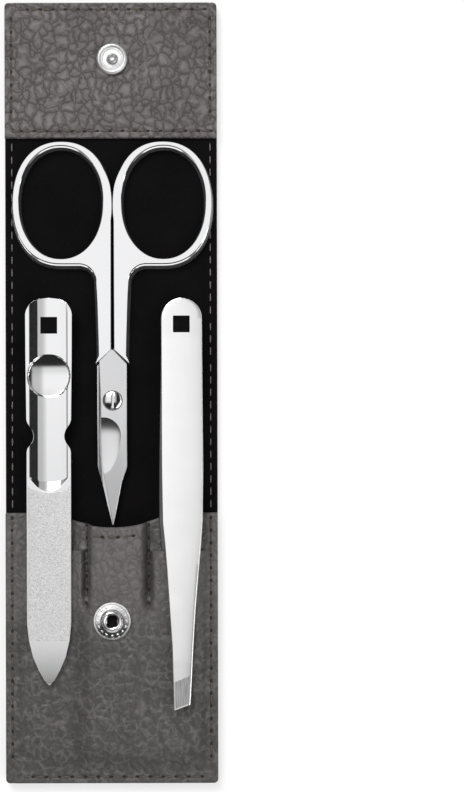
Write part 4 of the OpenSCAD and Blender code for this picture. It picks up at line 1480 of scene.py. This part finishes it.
def arm_bar(profile, base_z, y_top, turn=0.0, crown=0.0):
    """One arm: a bar with rounded long edges that follows the plan and the side view."""
    section = []
    r = 0.22
    for cx, cz, start in ((1, 1, 0), (-1, 1, 90), (-1, -1, 180), (1, -1, 270)):
        for a in np.radians(np.linspace(start, start + 90, 5)):
            section.append((cx, cz, r * math.cos(a) - cx * r, r * math.sin(a) - cz * r))
    flat_top = 7
    order = section[:5] + [(1 - 2 * (i + 1) / (flat_top + 1), 1, 0, 0) for i in range(flat_top)] + section[5:]
    order.append(order[0])
    sx, sz, ox, oz = np.array(order).T
    ys = np.concatenate([HEEL_Y + HEEL_R * np.cos(np.linspace(0.06, math.pi / 2, 22))[:-1],
                         np.linspace(HEEL_Y, TIP_Y, 150)])
    if y_top < 20:
        ys = np.concatenate([[y_top], ys[ys <= y_top]])

    def place(across, along):
        k = np.rint(across * (len(order) - 1)).astype(int)
        y = spread(ys, along)
        round_end = np.sqrt(np.clip(HEEL_R ** 2 - np.maximum(y - HEEL_Y, 0) ** 2, 0.02, None))
        left = np.where(y > HEEL_Y, TWEEZERS_X - round_end, in_table(ARM_LEFT, y))
        right = np.where(y > HEEL_Y, TWEEZERS_X + round_end, in_table(ARM_RIGHT, y))
        shift = -math.tan(math.radians(turn)) * np.maximum(WELD_Y - y, 0)
        centre, half = (left + right) / 2 + shift, (right - left) / 2
        x = centre + sx[k] * half + ox[k] * np.minimum(1, half / 0.4)
        lift = in_table(profile, y) + base_z
        z = lift + 0.5 + sz[k] * 0.5 + oz[k]
        z = z + np.where(sz[k] > 0, -crown * sx[k] ** 2, 0)
        # The slanted tip
        y = np.where(y < -70, y + 1.4 * ((x - shift - 14.7) / 3.8) * np.clip((-70 - y) / 3.5, 0, 1), y)
        return x, y, z

    return tube_along(len(order) - 1, len(ys) - 1, place)


class MANICURE_OT_tweezers(bpy.types.Operator):
    """Makes the tweezers: two sprung arms welded at the heel"""
    bl_idname = "manicure.tweezers"
    bl_label = "Tweezers"

    def execute(self, context):
        weld_z = FLOOR_Z + 3.55
        upper = arm_bar(UPPER_ARM, weld_z, 22.05, crown=0.06)
        lower = arm_bar(LOWER_ARM, FLOOR_Z, WELD_Y, turn=1.2)
        # The lower arm is the same steel, painted dark as the shade under the upper arm
        for arm, finish, name, side in ((upper, "satin steel", "tweezers_top_arm", "upper"),
                                        (lower, "inner steel", "tweezers_under_arm", "lower")):
            even_out(smooth(arm, 40))
            paint(arm, material(finish))
            hand_over(arm, name, f"tweezers_{side}", (f"tweezers_{side}_arm",))
        paint(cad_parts["tweezers_heel"], material("satin steel"))
        return {"FINISHED"}


# ---------- stage ----------

class MANICURE_OT_stage(bpy.types.Operator):
    """Sets up the pale floor, the soft light and the camera"""
    bl_idname = "manicure.stage"
    bl_label = "Stage"

    def execute(self, context):
        scene = context.scene
        scene.view_settings.view_transform = "Standard"
        self.floor()
        self.world(scene)
        self.lamps()
        self.camera(scene)
        return {"FINISHED"}

    def floor(self):
        deselect()
        bpy.ops.mesh.primitive_plane_add(size=6, location=(0, 0, 0))
        floor = bpy.context.object
        floor.name = "pale_floor"
        surface_material, tree, surface, place = new_material(
            "pale floor", Roughness=0.9, Specular_IOR_Level=0.1)
        feed(tree, surface, Base_Color=tint(tree, noise(tree, place, 30.0, 2.0), (0.86,) * 3, (0.88,) * 3))
        glow = add_node(tree, "ShaderNodeEmission", Color=(1, 1, 1, 1), Strength=1.0)
        seen = tree.nodes.new("ShaderNodeLightPath").outputs["Is Camera Ray"]
        mix = add_node(tree, "ShaderNodeMixShader", i0=times(tree, seen, 0.55), i1=surface.outputs[0],
                       i2=glow.outputs[0])
        feed(tree, tree.nodes["Material Output"], Surface=mix.outputs[0])
        paint(floor, surface_material)

    def world(self, scene):
        world = bpy.data.worlds.new("studio")
        scene.world = world
        world.use_nodes = True
        tree = world.node_tree
        tree.nodes.clear()
        way = tree.nodes.new("ShaderNodeTexCoord").outputs["Generated"]
        parts = add_node(tree, "ShaderNodeSeparateXYZ", Vector=way)
        x, y, z = parts.outputs
        # Polished steel sees a wide bright card that ends sharply towards the pocket, a dark flag on its
        # right and a strip beyond it
        card = times(tree, remap(tree, x, -0.66, -0.42), remap(tree, x, -0.02, 0.08, 1.0, 0.58),
                     remap(tree, x, 0.2, 0.215, 1.0, 0.0))
        strip = times(tree, remap(tree, x, 0.47, 0.5), remap(tree, x, 0.74, 0.84, 1.0, 0.0))
        card = times(tree, maths(tree, "ADD", card, strip), remap(tree, y, 0.03, -0.12, 1.0, 0.78),
                     remap(tree, y, -0.12, -0.15, 1.0, 0.6), remap(tree, y, -0.17, -0.155),
                     remap(tree, y, 0.15, 0.6, 1.0, 0.55), remap(tree, z, 0.0, 0.3))
        edge = times(tree, remap(tree, y, -0.76, -0.82), remap(tree, z, 0.05, 0.2))
        card = maths(tree, "MAXIMUM", card, edge)
        wall = remap(tree, z, -0.1, 0.6, 0.3, 0.02)
        mirrored = maths(tree, "ADD", wall, card)
        path = tree.nodes.new("ShaderNodeLightPath")
        strength = scene.manicure_looks.room_light
        for ray, seen in (("Is Glossy Ray", mirrored), ("Is Camera Ray", 1.0)):
            strength = add_node(tree, "ShaderNodeMix", data_type="FLOAT", i0=path.outputs[ray], i2=strength,
                                i3=seen).outputs[0]
        background = add_node(tree, "ShaderNodeBackground", Color=(1, 1, 1, 1), Strength=strength)
        add_node(tree, "ShaderNodeOutputWorld", Surface=background.outputs[0])

    def lamps(self):
        for name, place, size, watts in (("key_lamp", (-0.25, 0.55, 0.75), 0.5, 7.0),
                                         ("fill_lamp", (0.5, -0.35, 0.6), 0.6, 2.5)):
            deselect()
            bpy.ops.object.light_add(type="AREA", location=place)
            lamp = bpy.context.object
            lamp.name = name
            lamp.data.shape = "SQUARE"
            lamp.data.size = size
            lamp.data.energy = watts
            lamp.rotation_euler = (-Vector(place)).to_track_quat("-Z", "Y").to_euler()

    def camera(self, scene):
        deselect()
        look = scene.manicure_looks
        bpy.ops.object.camera_add(
            location=(look.camera_x / 1000, look.camera_y / 1000, look.camera_distance / 1000))
        camera = bpy.context.object
        camera.data.lens = look.lens
        camera.data.sensor_width = 36
        target = Vector((look.aim_x / 1000, look.aim_y / 1000, FLOOR_Z * MM))
        # Image up is along the case, turned by the photograph's slight roll
        forward = (target - camera.location).normalized()
        roll = math.radians(look.roll)
        up = Vector((math.sin(roll), math.cos(roll), 0))
        right = forward.cross(up).normalized()
        up = right.cross(forward)
        turn = Matrix((right, up, -forward)).transposed()
        camera.matrix_world = Matrix.LocRotScale(camera.location, turn, None)
        scene.camera = camera


# ---------- settings, panel and registration ----------

class ManicureSizes(bpy.types.PropertyGroup):
    leather_step: FloatProperty(name="Outer leather step", default=0.55, min=0.3, max=2,
                                description="Distance between the outer leather's points in millimetres")
    lining_step: FloatProperty(name="Lining step", default=1.2, min=0.5, max=4,
                               description="Distance between the lining's points in millimetres")
    facing_step: FloatProperty(name="Facing step", default=0.3, min=0.2, max=2,
                               description="Distance between the facing's points in millimetres")
    pocket_step: FloatProperty(name="Pocket step", default=0.33, min=0.2, max=2,
                               description="Distance between the pocket's points in millimetres")


class ManicureLooks(bpy.types.PropertyGroup):
    leather_colour: FloatVectorProperty(name="Leather", subtype="COLOR", default=linear(101, 97, 96),
                                        description="Colour of the grey leather")
    lining_colour: FloatVectorProperty(name="Lining", subtype="COLOR", default=linear(7, 6, 7),
                                       description="Colour of the velour lining")
    polish: FloatProperty(name="Polish", default=0.09, min=0.02, max=0.5,
                          description="Roughness of the polished steel")
    room_light: FloatProperty(name="Room light", default=0.55, min=0, max=2,
                              description="Strength of the even light from all round")
    lens: FloatProperty(name="Lens", default=92.9, min=20, max=300, description="Focal length in millimetres")
    camera_distance: FloatProperty(name="Camera height", default=482, min=100, max=2000,
                                   description="Height of the camera above the floor in millimetres")
    camera_x: FloatProperty(name="Camera across", default=28.3,
                            description="Place of the camera across the case in mm")
    camera_y: FloatProperty(name="Camera along", default=-0.8,
                            description="Place of the camera along the case in mm")
    aim_x: FloatProperty(name="Aim across", default=28.3,
                         description="Where the camera looks, across the case in mm")
    aim_y: FloatProperty(name="Aim along", default=-0.8,
                         description="Where the camera looks, along the case in mm")
    roll: FloatProperty(name="Roll", default=0.14, description="Turn of the picture in degrees")


PIECES = (MANICURE_OT_stage, MANICURE_OT_outer_leather, MANICURE_OT_lining, MANICURE_OT_facing,
          MANICURE_OT_pocket, MANICURE_OT_stitching, MANICURE_OT_snap, MANICURE_OT_badge,
          MANICURE_OT_hidden_parts, MANICURE_OT_scissors, MANICURE_OT_nail_file, MANICURE_OT_tweezers)


class MANICURE_PT_case(bpy.types.Panel):
    bl_idname = "MANICURE_PT_case"
    bl_label = "Manicure Set Case"
    bl_space_type = "VIEW_3D"
    bl_region_type = "UI"
    bl_category = "Manicure Case"

    def draw(self, context):
        for group in (context.scene.manicure_looks, context.scene.manicure_sizes):
            for name in group.__annotations__:
                self.layout.prop(group, name)
        for operator in PIECES:
            self.layout.operator(operator.bl_idname)


CLASSES = (ManicureSizes, ManicureLooks, *PIECES, MANICURE_PT_case)


def register():
    for each in CLASSES:
        bpy.utils.register_class(each)
    bpy.types.Scene.manicure_sizes = PointerProperty(type=ManicureSizes)
    bpy.types.Scene.manicure_looks = PointerProperty(type=ManicureLooks)


def unregister():
    del bpy.types.Scene.manicure_looks
    del bpy.types.Scene.manicure_sizes
    for each in reversed(CLASSES):
        bpy.utils.unregister_class(each)


def main():
    register()
    for operator in PIECES:
        group, name = operator.bl_idname.split(".")
        getattr(getattr(bpy.ops, group), name)()


if __name__ == "__main__":
    main()
